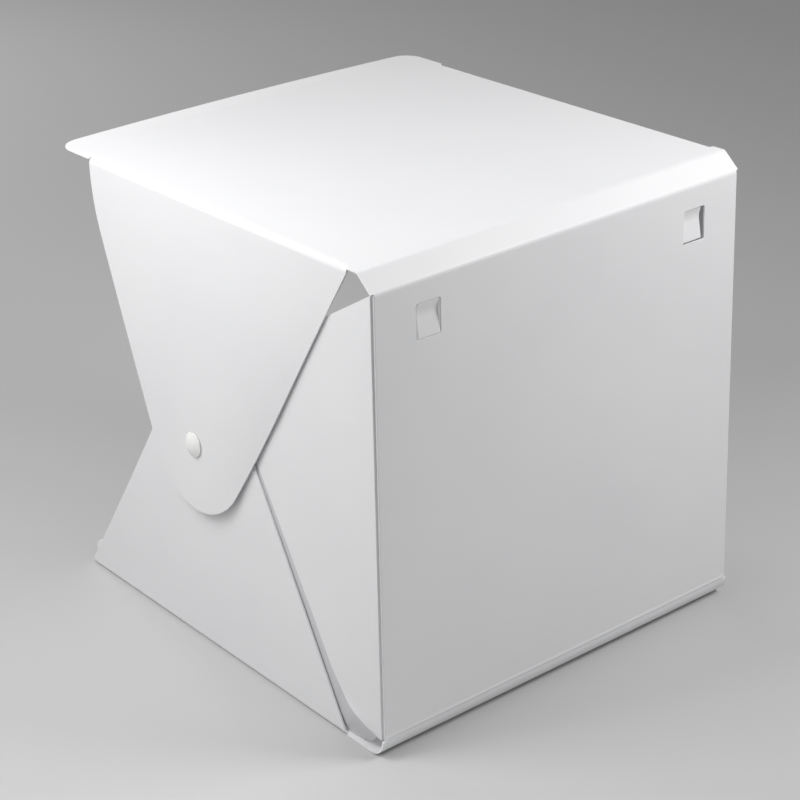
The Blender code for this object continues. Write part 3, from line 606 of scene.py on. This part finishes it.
def crease_rows():
    """Points of the crease and of the turned-in margin's edge, from the cusp up round the tip."""
    foot_run = math.dist(CUSP, CREASE_FOOT)
    along = ((CREASE_FOOT[0] - CUSP[0]) / foot_run, (CREASE_FOOT[1] - CUSP[1]) / foot_run)
    found = []
    for step in range(CREASE_STEPS + 1):
        angle = math.pi / 2 * step / CREASE_STEPS
        run = foot_run * (1 - math.cos(angle))
        width = MARGIN_FOOT * math.sin(angle)
        point = (CUSP[0] + run * along[0], CUSP[1] + run * along[1])
        found.append((point, (point[0] - width * along[1], point[1] + width * along[0]), width))
    top = (DEPTH - BACK_FOLD_R, BACK_FLAP_TOP)
    crease_way = (-math.cos(CREASE_LEAN), math.sin(CREASE_LEAN))
    top_way = (-math.cos(BACK_FLAP_TOP_LEAN), -math.sin(BACK_FLAP_TOP_LEAN))
    off = (top[0] - CREASE_FOOT[0]) * top_way[1] - (top[1] - CREASE_FOOT[1]) * top_way[0]
    reach = off / (crease_way[0] * top_way[1] - crease_way[1] * top_way[0])
    run = reach - BACK_FLAP_TIP_R / math.tan((CREASE_LEAN + BACK_FLAP_TOP_LEAN) / 2)
    for step in range(1, CREASE_STEPS + 1):
        share = step / CREASE_STEPS
        width = MARGIN_REACH * min(1, (1 - share) / (1 - MARGIN_FULL_SHARE))
        point = (CREASE_FOOT[0] + run * share * crease_way[0],
                 CREASE_FOOT[1] + run * share * crease_way[1])
        found.append((point, (point[0] - width * crease_way[1], point[1] + width * crease_way[0]), width))
    for _ in range(CREASE_EASE):
        eased = [tuple((b[axis] * 2 + a[axis] + c[axis]) / 4 for axis in (0, 1))
                 for (a, *_), (b, *_), (c, *_) in zip(found, found[1:], found[2:])]
        found = found[:1] + [(point, *rest) for point, (_, *rest) in zip(eased, found[1:])] + found[-1:]
    end = found[-1][0]
    middle = (end[0] + BACK_FLAP_TIP_R * crease_way[1], end[1] - BACK_FLAP_TIP_R * crease_way[0])
    tip = arc(middle, BACK_FLAP_TIP_R, math.pi * 3 / 2 - CREASE_LEAN, math.pi / 2 + BACK_FLAP_TOP_LEAN,
              CREASE_STEPS)
    return found + [(point, point, 0) for point in tip[1:]]


def margin_drop(width, share):
    """How far a margin has turned in, at a share of its width: little at the crease, then more."""
    return min(width, MARGIN_REACH) * math.tan(MARGIN_DROP) * share ** MARGIN_CURL


def proud_crease_x(crease, margin):
    """Where a crease must stand for its margin to pass just behind the lower flap's rear edge."""
    reach = math.dist(crease, margin)
    way = ((margin[0] - crease[0]) / reach, (margin[1] - crease[1]) / reach)
    run = 0.0
    while run < LAP_MOST and crease[0] + run * way[0] > bottom_flap_rear(crease[1] + run * way[1]):
        run += LAP_STEP
    return bottom_face_x(crease[1]) - SHEET - TOUCH_GAP + margin_drop(reach, min(1, run / reach))


def back_flap_rows(sign):
    """Rows across a rear flap: its grooved fold at the back, its panel, its crease and the margin beyond."""
    fold = []
    for step in range(GROOVE_STEPS + 1):
        share = step / GROOVE_STEPS
        radius = BACK_FOLD_R - GROOVE_DEPTH * math.sin(math.pi * share) ** 2
        turn = math.pi / 2 - (math.pi / 2 + BACK_FLAP_LEAN) * share
        fold.append((BACK_EDGE + radius * math.cos(turn), BACK - BACK_FOLD_R + radius * math.sin(turn)))
    found = crease_rows()
    tip_start = found[-CREASE_STEPS - 1][0][1]
    rows = []
    for place, (crease, margin, width) in enumerate(found):
        steps_past = max(0, place - (len(found) - 1 - CREASE_STEPS))
        root = min(crease[1], tip_start) + (BACK_FLAP_TOP - tip_start) * steps_past / CREASE_STEPS
        if place == 0:
            root = BACK_FLAP_LOW
        crease_x = back_face_x(crease[0])
        if width and place < 2 * CREASE_STEPS:
            foot_share = min(1, place / CREASE_STEPS)
            top_share = min(1, max(0, (2 * CREASE_STEPS - place) / (CREASE_STEPS * (1 - PROUD_TO))))
            crease_x += (proud_crease_x(crease, margin) - crease_x) * foot_share * top_share
        row = [(sign * x, y, root) for x, y in fold]
        row += spread(row[-1], (sign * crease_x, FRONT + crease[0], crease[1]), PANEL_STEPS)[1:]
        row.insert(-1, row[-1].lerp(row[-2], min(0.5, CREASE_HALF / (row[-1] - row[-2]).length)))
        lean_in = back_face_x(margin[0]) - back_face_x(crease[0])
        first = min(0.5 / MARGIN_STEPS, CREASE_HALF / width) if width else 0.5 / MARGIN_STEPS
        for share in [first] + [step / MARGIN_STEPS for step in range(1, MARGIN_STEPS + 1)]:
            row.append(Vector((sign * (crease_x + lean_in * share - margin_drop(width, share)),
                               FRONT + crease[0] + (margin[0] - crease[0]) * share,
                               crease[1] + (margin[1] - crease[1]) * share)))
        rows.append(row)
    return rows


for side, sign in SIDES.items():
    # The turned-in margin, past the panel's columns, gets the finish with painted shade.
    flap = die_cut(f"rear_flap_{side}", back_flap_rows(sign), (sign, 0, 0),
                   painted_shade_from=GROOVE_STEPS + PANEL_STEPS + 1)
    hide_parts(f"back_flap_{side}")
    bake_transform(flap)


# Press studs, one to each side wall. Glossy acetal snaps, moulded: a domed cap whose post is peened over
# behind the flap, a socket inside the upper flap and a stud with a nipple outside the lower one.
CAP_R = 0.0062
CAP_RIM = 0.0007
CAP_RISE = 0.0025
CAP_LIP = 0.00035
GATE_R = 0.0007
GATE_TAPER = 0.8
GATE_DEPTH = 0.00008
POST_R = 0.0011
POST_LENGTH = 0.002
STUD_SEAT = 0.0003
LATHE_TURNS = 64
DOME_STEPS = 14
SMOOTH_UNDER = math.radians(40)

# Acetal: moulded white resin with a gloss, and faint flow marks that fan out over 1.6 mm.
FLOW_MARK = 0.0016
FLOW_DEPTH = 0.0001
RESIN_WHITE = "F3F3F1"
RESIN_SHADE = "ECECE9"
resin, tree, shader = finish_named("moulded_acetal_snap")
place = add(tree, "ShaderNodeTexCoord").outputs["Object"]
flow = add(tree, "ShaderNodeTexNoise", None, {"Vector": place, "Scale": 1 / FLOW_MARK, "Detail": 3.0})
tint = add(tree, "ShaderNodeMix", {"data_type": "RGBA"},
           {"Factor": flow.outputs["Fac"], "A": linear(RESIN_WHITE), "B": linear(RESIN_SHADE)})
gloss = add(tree, "ShaderNodeMapRange", None, {"Value": flow.outputs["Fac"], "To Min": 0.12, "To Max": 0.24})
swirl = add(tree, "ShaderNodeBump", None,
            {"Strength": 0.08, "Distance": FLOW_DEPTH, "Height": flow.outputs["Fac"]})
tree.links.new(tint.outputs[2], shader.inputs["Base Color"])
tree.links.new(gloss.outputs["Result"], shader.inputs["Roughness"])
tree.links.new(swirl.outputs["Normal"], shader.inputs["Normal"])
shader.inputs["IOR"].default_value = 1.48


def add_turned(bm, profile, turns, finish_index=0):
    """Add a shape turned about Z, from (radius, height) points that go up from the axis and back to it."""
    low = bm.verts.new((0, 0, profile[0][1]))
    high = bm.verts.new((0, 0, profile[-1][1]))
    lines = []
    for turn in range(turns):
        angle = math.tau * turn / turns
        lines.append([bm.verts.new((radius * math.cos(angle), radius * math.sin(angle), height))
                      for radius, height in profile[1:-1]])
    for near, far in zip(lines, lines[1:] + lines[:1]):
        strip = [(low, far[0], near[0]), *zip(near, far, far[1:], near[1:]), (high, near[-1], far[-1])]
        for corners in strip:
            bm.faces.new(corners).material_index = finish_index


def turned(name, profile, finish):
    """A new piece turned about Z."""
    bm = bmesh.new()
    add_turned(bm, profile, LATHE_TURNS)
    made = shown(name, bm, finish)
    made.data.set_sharp_from_angle(angle=SMOOTH_UNDER)
    return made


dome_high = CAP_RISE - CAP_RIM
dome_r = ((CAP_R - CAP_LIP) ** 2 + dome_high ** 2) / (2 * dome_high)
swing = math.asin((CAP_R - CAP_LIP) / dome_r)
dome = arc((0, CAP_RISE - dome_r), dome_r, math.pi / 2 - swing, math.pi / 2, DOME_STEPS)
dome = [point for point in dome if point[0] > GATE_R]
lip = arc((CAP_R - CAP_LIP, CAP_RIM - CAP_LIP), CAP_LIP, 0, math.pi / 2, FOLD_STEPS)
cap_profile = [(0, -POST_LENGTH), (POST_R, -POST_LENGTH), (POST_R, 0), (CAP_R, 0)] + lip[:-1] + dome
cap_profile += [(GATE_R, CAP_RISE - GATE_DEPTH / 2), (GATE_R * GATE_TAPER, CAP_RISE - GATE_DEPTH),
                (0, CAP_RISE - GATE_DEPTH)]
for side, sign in SIDES.items():
    for kind, body, outward, offset in (
            ("outer_cap", "top_flap", 1, FLAP_GAP + SHEET + STUD_SEAT),
            ("inner_cap", "bottom_flap", -1, -SHEET - STUD_SEAT)):
        cap = turned(f"snap_{kind}_{side}", cap_profile, resin)
        cap.location = (sign * (bottom_face_x(STUD[1]) + offset * math.cos(LEAN)), FRONT + STUD[0],
                        STUD[1] + offset * math.sin(LEAN))
        pointing = Vector((sign * math.cos(LEAN), 0, math.sin(LEAN))) * outward
        cap.rotation_euler = pointing.to_track_quat("Z", "Y").to_euler()
        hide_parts(f"stud_{kind}_{side}")
        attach(cap, f"{body}_{side}")
    for kind in ("socket", "nipple"):
        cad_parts[f"stud_{kind}_{side}"].data.materials[0] = resin


# Light strip's foam tape and board, under the lid near its front. White closed-cell foam tape holds a
# printed board with a white mask. Two copper runs show through the mask, and a chip resistor stands by every
# third lamp.
STRIP_FROM_FRONT = 0.022
STRIP_Y = FRONT + STRIP_FROM_FRONT
BOARD_FROM_SIDE = 0.010
BOARD_LENGTH = WIDTH - 2 * BOARD_FROM_SIDE
BOARD_WIDTH = 0.010
BOARD_THICK = 0.001
BOARD_EDGE_R = 0.0001
TAPE_ROOM = 0.0012
BOARD_TOP = HEIGHT - SHEET - TAPE_ROOM
BOARD_LOW = BOARD_TOP - BOARD_THICK
LAMP_COUNT = 20
FIRST_LAMP = 0.011
LAMP_START = -BOARD_LENGTH / 2 + FIRST_LAMP
LAMP_STEP = 0.010
RUN_SHORTER = 0.004
RUN_WIDTH = 0.0016
RUN_PROUD = 0.00006
RUN_FROM_MIDDLE = 0.0036
RESISTOR_EVERY = 3
RESISTOR = (0.0020, 0.00125, 0.0005)
RESISTOR_END = 0.0004
RESISTOR_EDGE_R = 0.00006
PAD = (0.0024, 0.0009, 0.0003)
PAD_FROM_MIDDLE = 0.00155
PAD_EDGE_R = 0.00008

# Closed-cell foam: each cell 0.4 mm across, paler at its wall than at its middle.
FOAM_CELL = 0.0004
CELL_DEPTH = 0.0002
FOAM_MIDDLE = "DADAD4"
FOAM_WALL = "EBEBE6"
tape_foam, tree, shader = finish_named("closed_cell_foam_tape")
place = add(tree, "ShaderNodeTexCoord").outputs["Object"]
cell = add(tree, "ShaderNodeTexVoronoi", None, {"Vector": place, "Scale": 1 / FOAM_CELL})
shade = add(tree, "ShaderNodeMix", {"data_type": "RGBA"},
            {"Factor": cell.outputs["Distance"], "A": linear(FOAM_MIDDLE), "B": linear(FOAM_WALL)})
pores = add(tree, "ShaderNodeBump", None,
            {"Strength": 0.4, "Distance": CELL_DEPTH, "Height": cell.outputs["Distance"]})
tree.links.new(shade.outputs[2], shader.inputs["Base Color"])
tree.links.new(pores.outputs["Normal"], shader.inputs["Normal"])
shader.inputs["Roughness"].default_value = 0.85
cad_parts["light_strip_tape"].data.materials[0] = tape_foam

# White solder mask: a thin glossy coat with an orange-peel surface, over glass-fibre board.
MASK_PEEL = 0.0008
PEEL_DEPTH = 0.0001
MASK_WHITE = "EEF0EE"
mask_coat, tree, shader = finish_named("white_solder_mask")
place = add(tree, "ShaderNodeTexCoord").outputs["Object"]
peel = add(tree, "ShaderNodeTexNoise", None, {"Vector": place, "Scale": 1 / MASK_PEEL, "Detail": 2.0})
sheen = add(tree, "ShaderNodeMapRange", None, {"Value": peel.outputs["Fac"], "To Min": 0.26, "To Max": 0.40})
level_peel = add(tree, "ShaderNodeBump", None,
                 {"Strength": 0.15, "Distance": PEEL_DEPTH, "Height": peel.outputs["Fac"]})
tree.links.new(sheen.outputs["Result"], shader.inputs["Roughness"])
tree.links.new(level_peel.outputs["Normal"], shader.inputs["Normal"])
shader.inputs["Base Color"].default_value = linear(MASK_WHITE)
shader.inputs["IOR"].default_value = 1.52

# Reflowed tin solder: bright metal, dull in spots where it froze.
SOLDER_SPOT = 0.0003
SOLDER_GREY = "C6C7C9"
solder, tree, shader = finish_named("reflowed_tin_solder")
place = add(tree, "ShaderNodeTexCoord").outputs["Object"]
frozen = add(tree, "ShaderNodeTexNoise", None, {"Vector": place, "Scale": 1 / SOLDER_SPOT, "Detail": 3.0})
dull = add(tree, "ShaderNodeMapRange", None, {"Value": frozen.outputs["Fac"], "To Min": 0.20, "To Max": 0.45})
tree.links.new(dull.outputs["Result"], shader.inputs["Roughness"])
shader.inputs["Base Color"].default_value = linear(SOLDER_GREY)
shader.inputs["Metallic"].default_value = 1.0

# Black glaze of a thick-film chip resistor: half glossy, with specks from its firing.
GLAZE_SPECK = 0.0004
GLAZE_BLACK = "2A2A2D"
glaze, tree, shader = finish_named("resistor_black_glaze")
place = add(tree, "ShaderNodeTexCoord").outputs["Object"]
speck = add(tree, "ShaderNodeTexNoise", None, {"Vector": place, "Scale": 1 / GLAZE_SPECK, "Detail": 2.0})
rub = add(tree, "ShaderNodeMapRange", None, {"Value": speck.outputs["Fac"], "To Min": 0.30, "To Max": 0.50})
tree.links.new(rub.outputs["Result"], shader.inputs["Roughness"])
shader.inputs["Base Color"].default_value = linear(GLAZE_BLACK)


def add_block(bm, size, middle, corner_r, finish_index=0):
    """Add a block with rounded edges to a mesh in the making."""
    made = bmesh.ops.create_cube(bm, size=1, matrix=Matrix.Translation(middle) @ Matrix.Diagonal((*size, 1)))
    edges = list({edge for vert in made["verts"] for edge in vert.link_edges})
    faces = {face for vert in made["verts"] for face in vert.link_faces}
    for face in faces:
        face.material_index = finish_index
    bmesh.ops.bevel(bm, geom=edges, offset=corner_r, segments=2, profile=0.5, affect="EDGES",
                    material=finish_index)


bm = bmesh.new()
add_block(bm, (BOARD_LENGTH, BOARD_WIDTH, BOARD_THICK), (0, STRIP_Y, BOARD_TOP - BOARD_THICK / 2),
          BOARD_EDGE_R)
for off in (-RUN_FROM_MIDDLE, RUN_FROM_MIDDLE):
    add_block(bm, (BOARD_LENGTH - RUN_SHORTER, RUN_WIDTH, RUN_PROUD * 2), (0, STRIP_Y + off, BOARD_LOW),
              RUN_PROUD / 2)
for number in range(LAMP_COUNT):
    lamp_x = LAMP_START + LAMP_STEP * number
    for off in (-PAD_FROM_MIDDLE, PAD_FROM_MIDDLE):
        add_block(bm, PAD, (lamp_x, STRIP_Y + off, BOARD_LOW - PAD[2] / 2), PAD_EDGE_R, 1)
    if number % RESISTOR_EVERY == 1:
        chip = (lamp_x + LAMP_STEP / 2, STRIP_Y, BOARD_LOW - RESISTOR[2] / 2)
        add_block(bm, RESISTOR, chip, RESISTOR_EDGE_R, 2)
        end_size = (RESISTOR_END, RESISTOR[1] + RESISTOR_EDGE_R, RESISTOR[2] + RESISTOR_EDGE_R)
        for off in (-1, 1):
            end = (chip[0] + off * (RESISTOR[0] - RESISTOR_END) / 2, chip[1], chip[2])
            add_block(bm, end_size, end, RESISTOR_EDGE_R, 1)
board = shown("lamp_board", bm, mask_coat, solder, glaze)
board.data.set_sharp_from_angle(angle=SMOOTH_UNDER)
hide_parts("light_strip_board")
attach(board, "lid")


# Lamps, twenty along the board. Each is a moulded white package with a round well of yellow phosphor gel,
# on two soldered feet.
PACKAGE = (0.0028, 0.0035, 0.0008)
PACKAGE_LIFT = 0.0003
PACKAGE_EDGE_R = 0.0001
WELL_R = 0.00115
WELL_DEPTH = 0.00025
WELL_FLARE = 1.2
WELL_OVERRUN = 0.001
GEL_LEVEL = 0.7
GEL_OVERLAP = 1.02
GEL_SWELL = 0.00006
GEL_TURNS = 24
GEL_STEPS = 8
LAMP_FOOT = (0.0020, 0.0008)
LAMP_FOOT_IN = 0.0003
LAMP_FOOT_SUNK = 0.0002

# Lamp package: white polyamide, moulded, between matt and glossy in a faint mottle.
PACKAGE_MOTTLE = 0.0005
PACKAGE_WHITE = "F1F0EA"
package_resin, tree, shader = finish_named("white_lamp_package")
place = add(tree, "ShaderNodeTexCoord").outputs["Object"]
mottle = add(tree, "ShaderNodeTexNoise", None, {"Vector": place, "Scale": 1 / PACKAGE_MOTTLE, "Detail": 2.0})
matt = add(tree, "ShaderNodeMapRange", None, {"Value": mottle.outputs["Fac"], "To Min": 0.35, "To Max": 0.50})
tree.links.new(matt.outputs["Result"], shader.inputs["Roughness"])
shader.inputs["Base Color"].default_value = linear(PACKAGE_WHITE)

# Phosphor gel: clear glossy silicone full of yellow powder.
POWDER_GRAIN = 0.0002
POWDER_DEEP = "E6C23C"
POWDER_PALE = "F0DA6E"
gel, tree, shader = finish_named("yellow_phosphor_gel")
place = add(tree, "ShaderNodeTexCoord").outputs["Object"]
powder = add(tree, "ShaderNodeTexNoise", None, {"Vector": place, "Scale": 1 / POWDER_GRAIN, "Detail": 3.0})
grains = add(tree, "ShaderNodeMix", {"data_type": "RGBA"},
             {"Factor": powder.outputs["Fac"], "A": linear(POWDER_DEEP), "B": linear(POWDER_PALE)})
tree.links.new(grains.outputs[2], shader.inputs["Base Color"])
shader.inputs["Roughness"].default_value = 0.22
shader.inputs["IOR"].default_value = 1.41

well_profile = [(0, -WELL_OVERRUN), (WELL_R * WELL_FLARE, -WELL_OVERRUN),
                (WELL_R, WELL_DEPTH), (0, WELL_DEPTH)]
well = turned("well", well_profile, package_resin)
bm = bmesh.new()
add_block(bm, PACKAGE, (0, 0, PACKAGE[2] / 2), PACKAGE_EDGE_R)
package = shown("package", bm, package_resin, gel, solder)
punch(package, well)
package_shape = final_mesh(package)
bpy.data.objects.remove(package)
bpy.data.objects.remove(well)
bm = bmesh.new()
bm.from_mesh(package_shape)
gel_profile = [(WELL_R * GEL_OVERLAP * math.sin(math.pi * step / GEL_STEPS),
                WELL_DEPTH * GEL_LEVEL - GEL_SWELL * math.cos(math.pi * step / GEL_STEPS))
               for step in range(GEL_STEPS + 1)]
add_turned(bm, gel_profile, GEL_TURNS, 1)
for off in (-1, 1):
    add_block(bm, (*LAMP_FOOT, PACKAGE_LIFT + LAMP_FOOT_SUNK),
              (0, off * (PACKAGE[1] / 2 - LAMP_FOOT_IN), PACKAGE[2] + PACKAGE_LIFT / 2 - LAMP_FOOT_SUNK / 2),
              PAD_EDGE_R, 2)
bm.to_mesh(package_shape)
bm.free()
for number in range(LAMP_COUNT):
    lamp = bpy.data.objects.new(f"lamp_{number + 1:02d}", package_shape.copy())
    bpy.context.scene.collection.objects.link(lamp)
    lamp.data.set_sharp_from_angle(angle=SMOOTH_UNDER)
    lamp.location = (LAMP_START + LAMP_STEP * number, STRIP_Y, BOARD_LOW - PACKAGE_LIFT - PACKAGE[2])
    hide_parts(f"led_{number + 1:02d}")
    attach(lamp, "lid")


# Power inlet at the left end of the strip. A stamped and tinned steel shell with rounded sides, soldered
# down, with a black insulator and gold contacts inside its mouth.
INLET = (0.006, 0.0078, 0.0028)
INLET_WALL = 0.0004
INLET_CORNER_R = 0.0008
INLET_EDGE_R = 0.00008
INLET_LIFT = 0.0003
INSULATOR = (0.0042, 0.0042, 0.0007)
INSULATOR_EDGE_R = 0.0001
CONTACTS = 5
CONTACT = (INSULATOR[0] * 0.8, 0.0004, 0.00015)
CONTACT_EDGE_R = 0.00004
SHELL_FOOT = (0.0016, 0.0006, 0.0008)
SHELL_FOOT_EDGE_R = 0.0001
SHELL_FOOT_X = 0.0005
SHELL_FOOT_OUT = 0.0002

# Tinned steel: fine lines along the way in which the shell was drawn, 20 times as long as they are wide.
DRAWN_LINE = 0.0002
LINE_STRETCH = 0.05
STEEL_GREY = "CDCED0"
steel, tree, shader = finish_named("tinned_steel_shell")
place = add(tree, "ShaderNodeTexCoord").outputs["Object"]
drawn = add(tree, "ShaderNodeMapping", None, {"Vector": place, "Scale": (LINE_STRETCH, 1.0, 1.0)})
lines = add(tree, "ShaderNodeTexNoise", None,
            {"Vector": drawn.outputs["Vector"], "Scale": 1 / DRAWN_LINE, "Detail": 3.0})
drag = add(tree, "ShaderNodeMapRange", None, {"Value": lines.outputs["Fac"], "To Min": 0.18, "To Max": 0.38})
tree.links.new(drag.outputs["Result"], shader.inputs["Roughness"])
shader.inputs["Base Color"].default_value = linear(STEEL_GREY)
shader.inputs["Metallic"].default_value = 1.0

# Insulator: glass-filled nylon, moulded black in a spark-eroded mould that leaves it matt.
INSULATOR_GRAIN = 0.0003
PIT_DEPTH = 0.00003
INSULATOR_BLACK = "232326"
insulator, tree, shader = finish_named("moulded_black_nylon")
place = add(tree, "ShaderNodeTexCoord").outputs["Object"]
pitted = add(tree, "ShaderNodeTexNoise", None, {"Vector": place, "Scale": 1 / INSULATOR_GRAIN, "Detail": 2.0})
matt = add(tree, "ShaderNodeMapRange", None, {"Value": pitted.outputs["Fac"], "To Min": 0.42, "To Max": 0.58})
pits = add(tree, "ShaderNodeBump", None,
           {"Strength": 0.2, "Distance": PIT_DEPTH, "Height": pitted.outputs["Fac"]})
tree.links.new(matt.outputs["Result"], shader.inputs["Roughness"])
tree.links.new(pits.outputs["Normal"], shader.inputs["Normal"])
shader.inputs["Base Color"].default_value = linear(INSULATOR_BLACK)
shader.inputs["IOR"].default_value = 1.53

# Gold flash on the contacts: bright metal, worn a little by the plug.
WEAR_SPOT = 0.0003
CONTACT_GOLD = "DDB86A"
gold, tree, shader = finish_named("gold_flash_contact")
place = add(tree, "ShaderNodeTexCoord").outputs["Object"]
worn = add(tree, "ShaderNodeTexNoise", None, {"Vector": place, "Scale": 1 / WEAR_SPOT, "Detail": 2.0})
wiped = add(tree, "ShaderNodeMapRange", None, {"Value": worn.outputs["Fac"], "To Min": 0.18, "To Max": 0.34})
tree.links.new(wiped.outputs["Result"], shader.inputs["Roughness"])
shader.inputs["Base Color"].default_value = linear(CONTACT_GOLD)
shader.inputs["Metallic"].default_value = 1.0

mouth_size = (INLET[0], INLET[1] - 2 * INLET_WALL, INLET[2] - 2 * INLET_WALL)
mouth = shown("mouth", rounded_block(mouth_size, INLET_CORNER_R - INLET_WALL, 0), steel)
mouth.location.x = -INLET_WALL
shell = shown("inlet_shell", rounded_block(INLET, INLET_CORNER_R, 0), steel, insulator, gold)
punch(shell, mouth)
soften(shell, INLET_EDGE_R)
bpy.data.objects.remove(mouth)
bm = bmesh.new()
bm.from_mesh(shell.data)
insulator_x = INLET[0] / 2 - INLET_WALL - INSULATOR[0] / 2
add_block(bm, INSULATOR, (insulator_x, 0, 0), INSULATOR_EDGE_R, 1)
for number in range(CONTACTS):
    off = INSULATOR[1] * ((number + 0.5) / CONTACTS - 0.5)
    add_block(bm, CONTACT, (insulator_x, off, -INSULATOR[2] / 2), CONTACT_EDGE_R, 2)
for off in (-1, 1):
    add_block(bm, SHELL_FOOT, (SHELL_FOOT_X, off * (INLET[1] / 2 + SHELL_FOOT_OUT), INLET[2] / 2),
              SHELL_FOOT_EDGE_R)
bm.to_mesh(shell.data)
bm.free()
shell.location = (-BOARD_LENGTH / 2 + INLET[0] / 2, STRIP_Y, BOARD_LOW - INLET_LIFT - INLET[2] / 2)
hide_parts("light_strip_inlet")
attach(shell, "lid")


# Studio: a floor of plain pale paper, two soft lamps at the right, one behind at the left and one in front.
# The camera stands where the photograph's did, as worked out from the edges of the box.
FLOOR_SIZE = 6.0
FLOOR_DROP = 0.0002
PAPER_GREY = "C8C8C8"
AIR_LIGHT = 0.27
AZIMUTH = math.radians(141.15)
ELEVATION = math.radians(24.86)
ROLL = math.radians(-1.52)
DISTANCE = 1.0718
AIM_HEIGHT = 0.120
AIM_RIGHT = 0.00062
AIM_DOWN = 0.01508
SENSOR_WIDTH = 36
LENS = 96.36
stage_finish, tree, shader = finish_named("pale_studio_paper")
shader.inputs["Base Color"].default_value = linear(PAPER_GREY)
shader.inputs["Roughness"].default_value = 0.7
bm = bmesh.new()
bmesh.ops.create_grid(bm, x_segments=1, y_segments=1, size=FLOOR_SIZE)
studio_floor = shown("studio_floor", bm, stage_finish)
studio_floor.location.z = -FLOOR_DROP

for name, place, aim, size, power in (
        ("lamp_near", (0.36, -0.08, 0.5), (0.11, -0.05, 0.2), 0.25, 1.45),
        ("lamp_side", (0.65, 0.0, 0.5), (0.11, -0.03, 0.17), 0.3, 0.8),
        ("lamp_behind", (-0.26, 0.40, 0.52), (-0.05, 0.12, 0.18), 0.25, 1.9),
        ("lamp_front", (0.0, -1.4, 0.7), (0, 0, 0.1), 0.6, 5)):
    light = bpy.data.lights.new(name, "AREA")
    light.size = size
    light.energy = power
    lamp = bpy.data.objects.new(name, light)
    bpy.context.scene.collection.objects.link(lamp)
    lamp.location = place
    lamp.rotation_euler = (Vector(aim) - Vector(place)).to_track_quat("-Z", "Y").to_euler()

world = bpy.data.worlds.new("studio_air")
bpy.context.scene.world = world
world.use_nodes = True
world.node_tree.nodes["Background"].inputs["Color"].default_value = (1, 1, 1, 1)
world.node_tree.nodes["Background"].inputs["Strength"].default_value = AIR_LIGHT
bpy.context.scene.view_settings.view_transform = "Standard"

back_way = Vector((math.sin(AZIMUTH) * math.cos(ELEVATION), -math.cos(AZIMUTH) * math.cos(ELEVATION),
                   math.sin(ELEVATION)))
level = Vector((0, 0, 1)).cross(back_way).normalized()
upright = back_way.cross(level)
right_way = level * math.cos(ROLL) + upright * math.sin(ROLL)
up_way = upright * math.cos(ROLL) - level * math.sin(ROLL)
aim_point = Vector((0, 0, AIM_HEIGHT)) + right_way * AIM_RIGHT - up_way * AIM_DOWN
camera_data = bpy.data.cameras.new("camera")
camera_data.sensor_width = SENSOR_WIDTH
camera_data.lens = LENS
camera = bpy.data.objects.new("camera", camera_data)
bpy.context.scene.collection.objects.link(camera)
camera.matrix_world = Matrix.Translation(aim_point + back_way * DISTANCE) @ Matrix(
    (right_way, up_way, back_way)).transposed().to_4x4()
bpy.context.scene.camera = camera
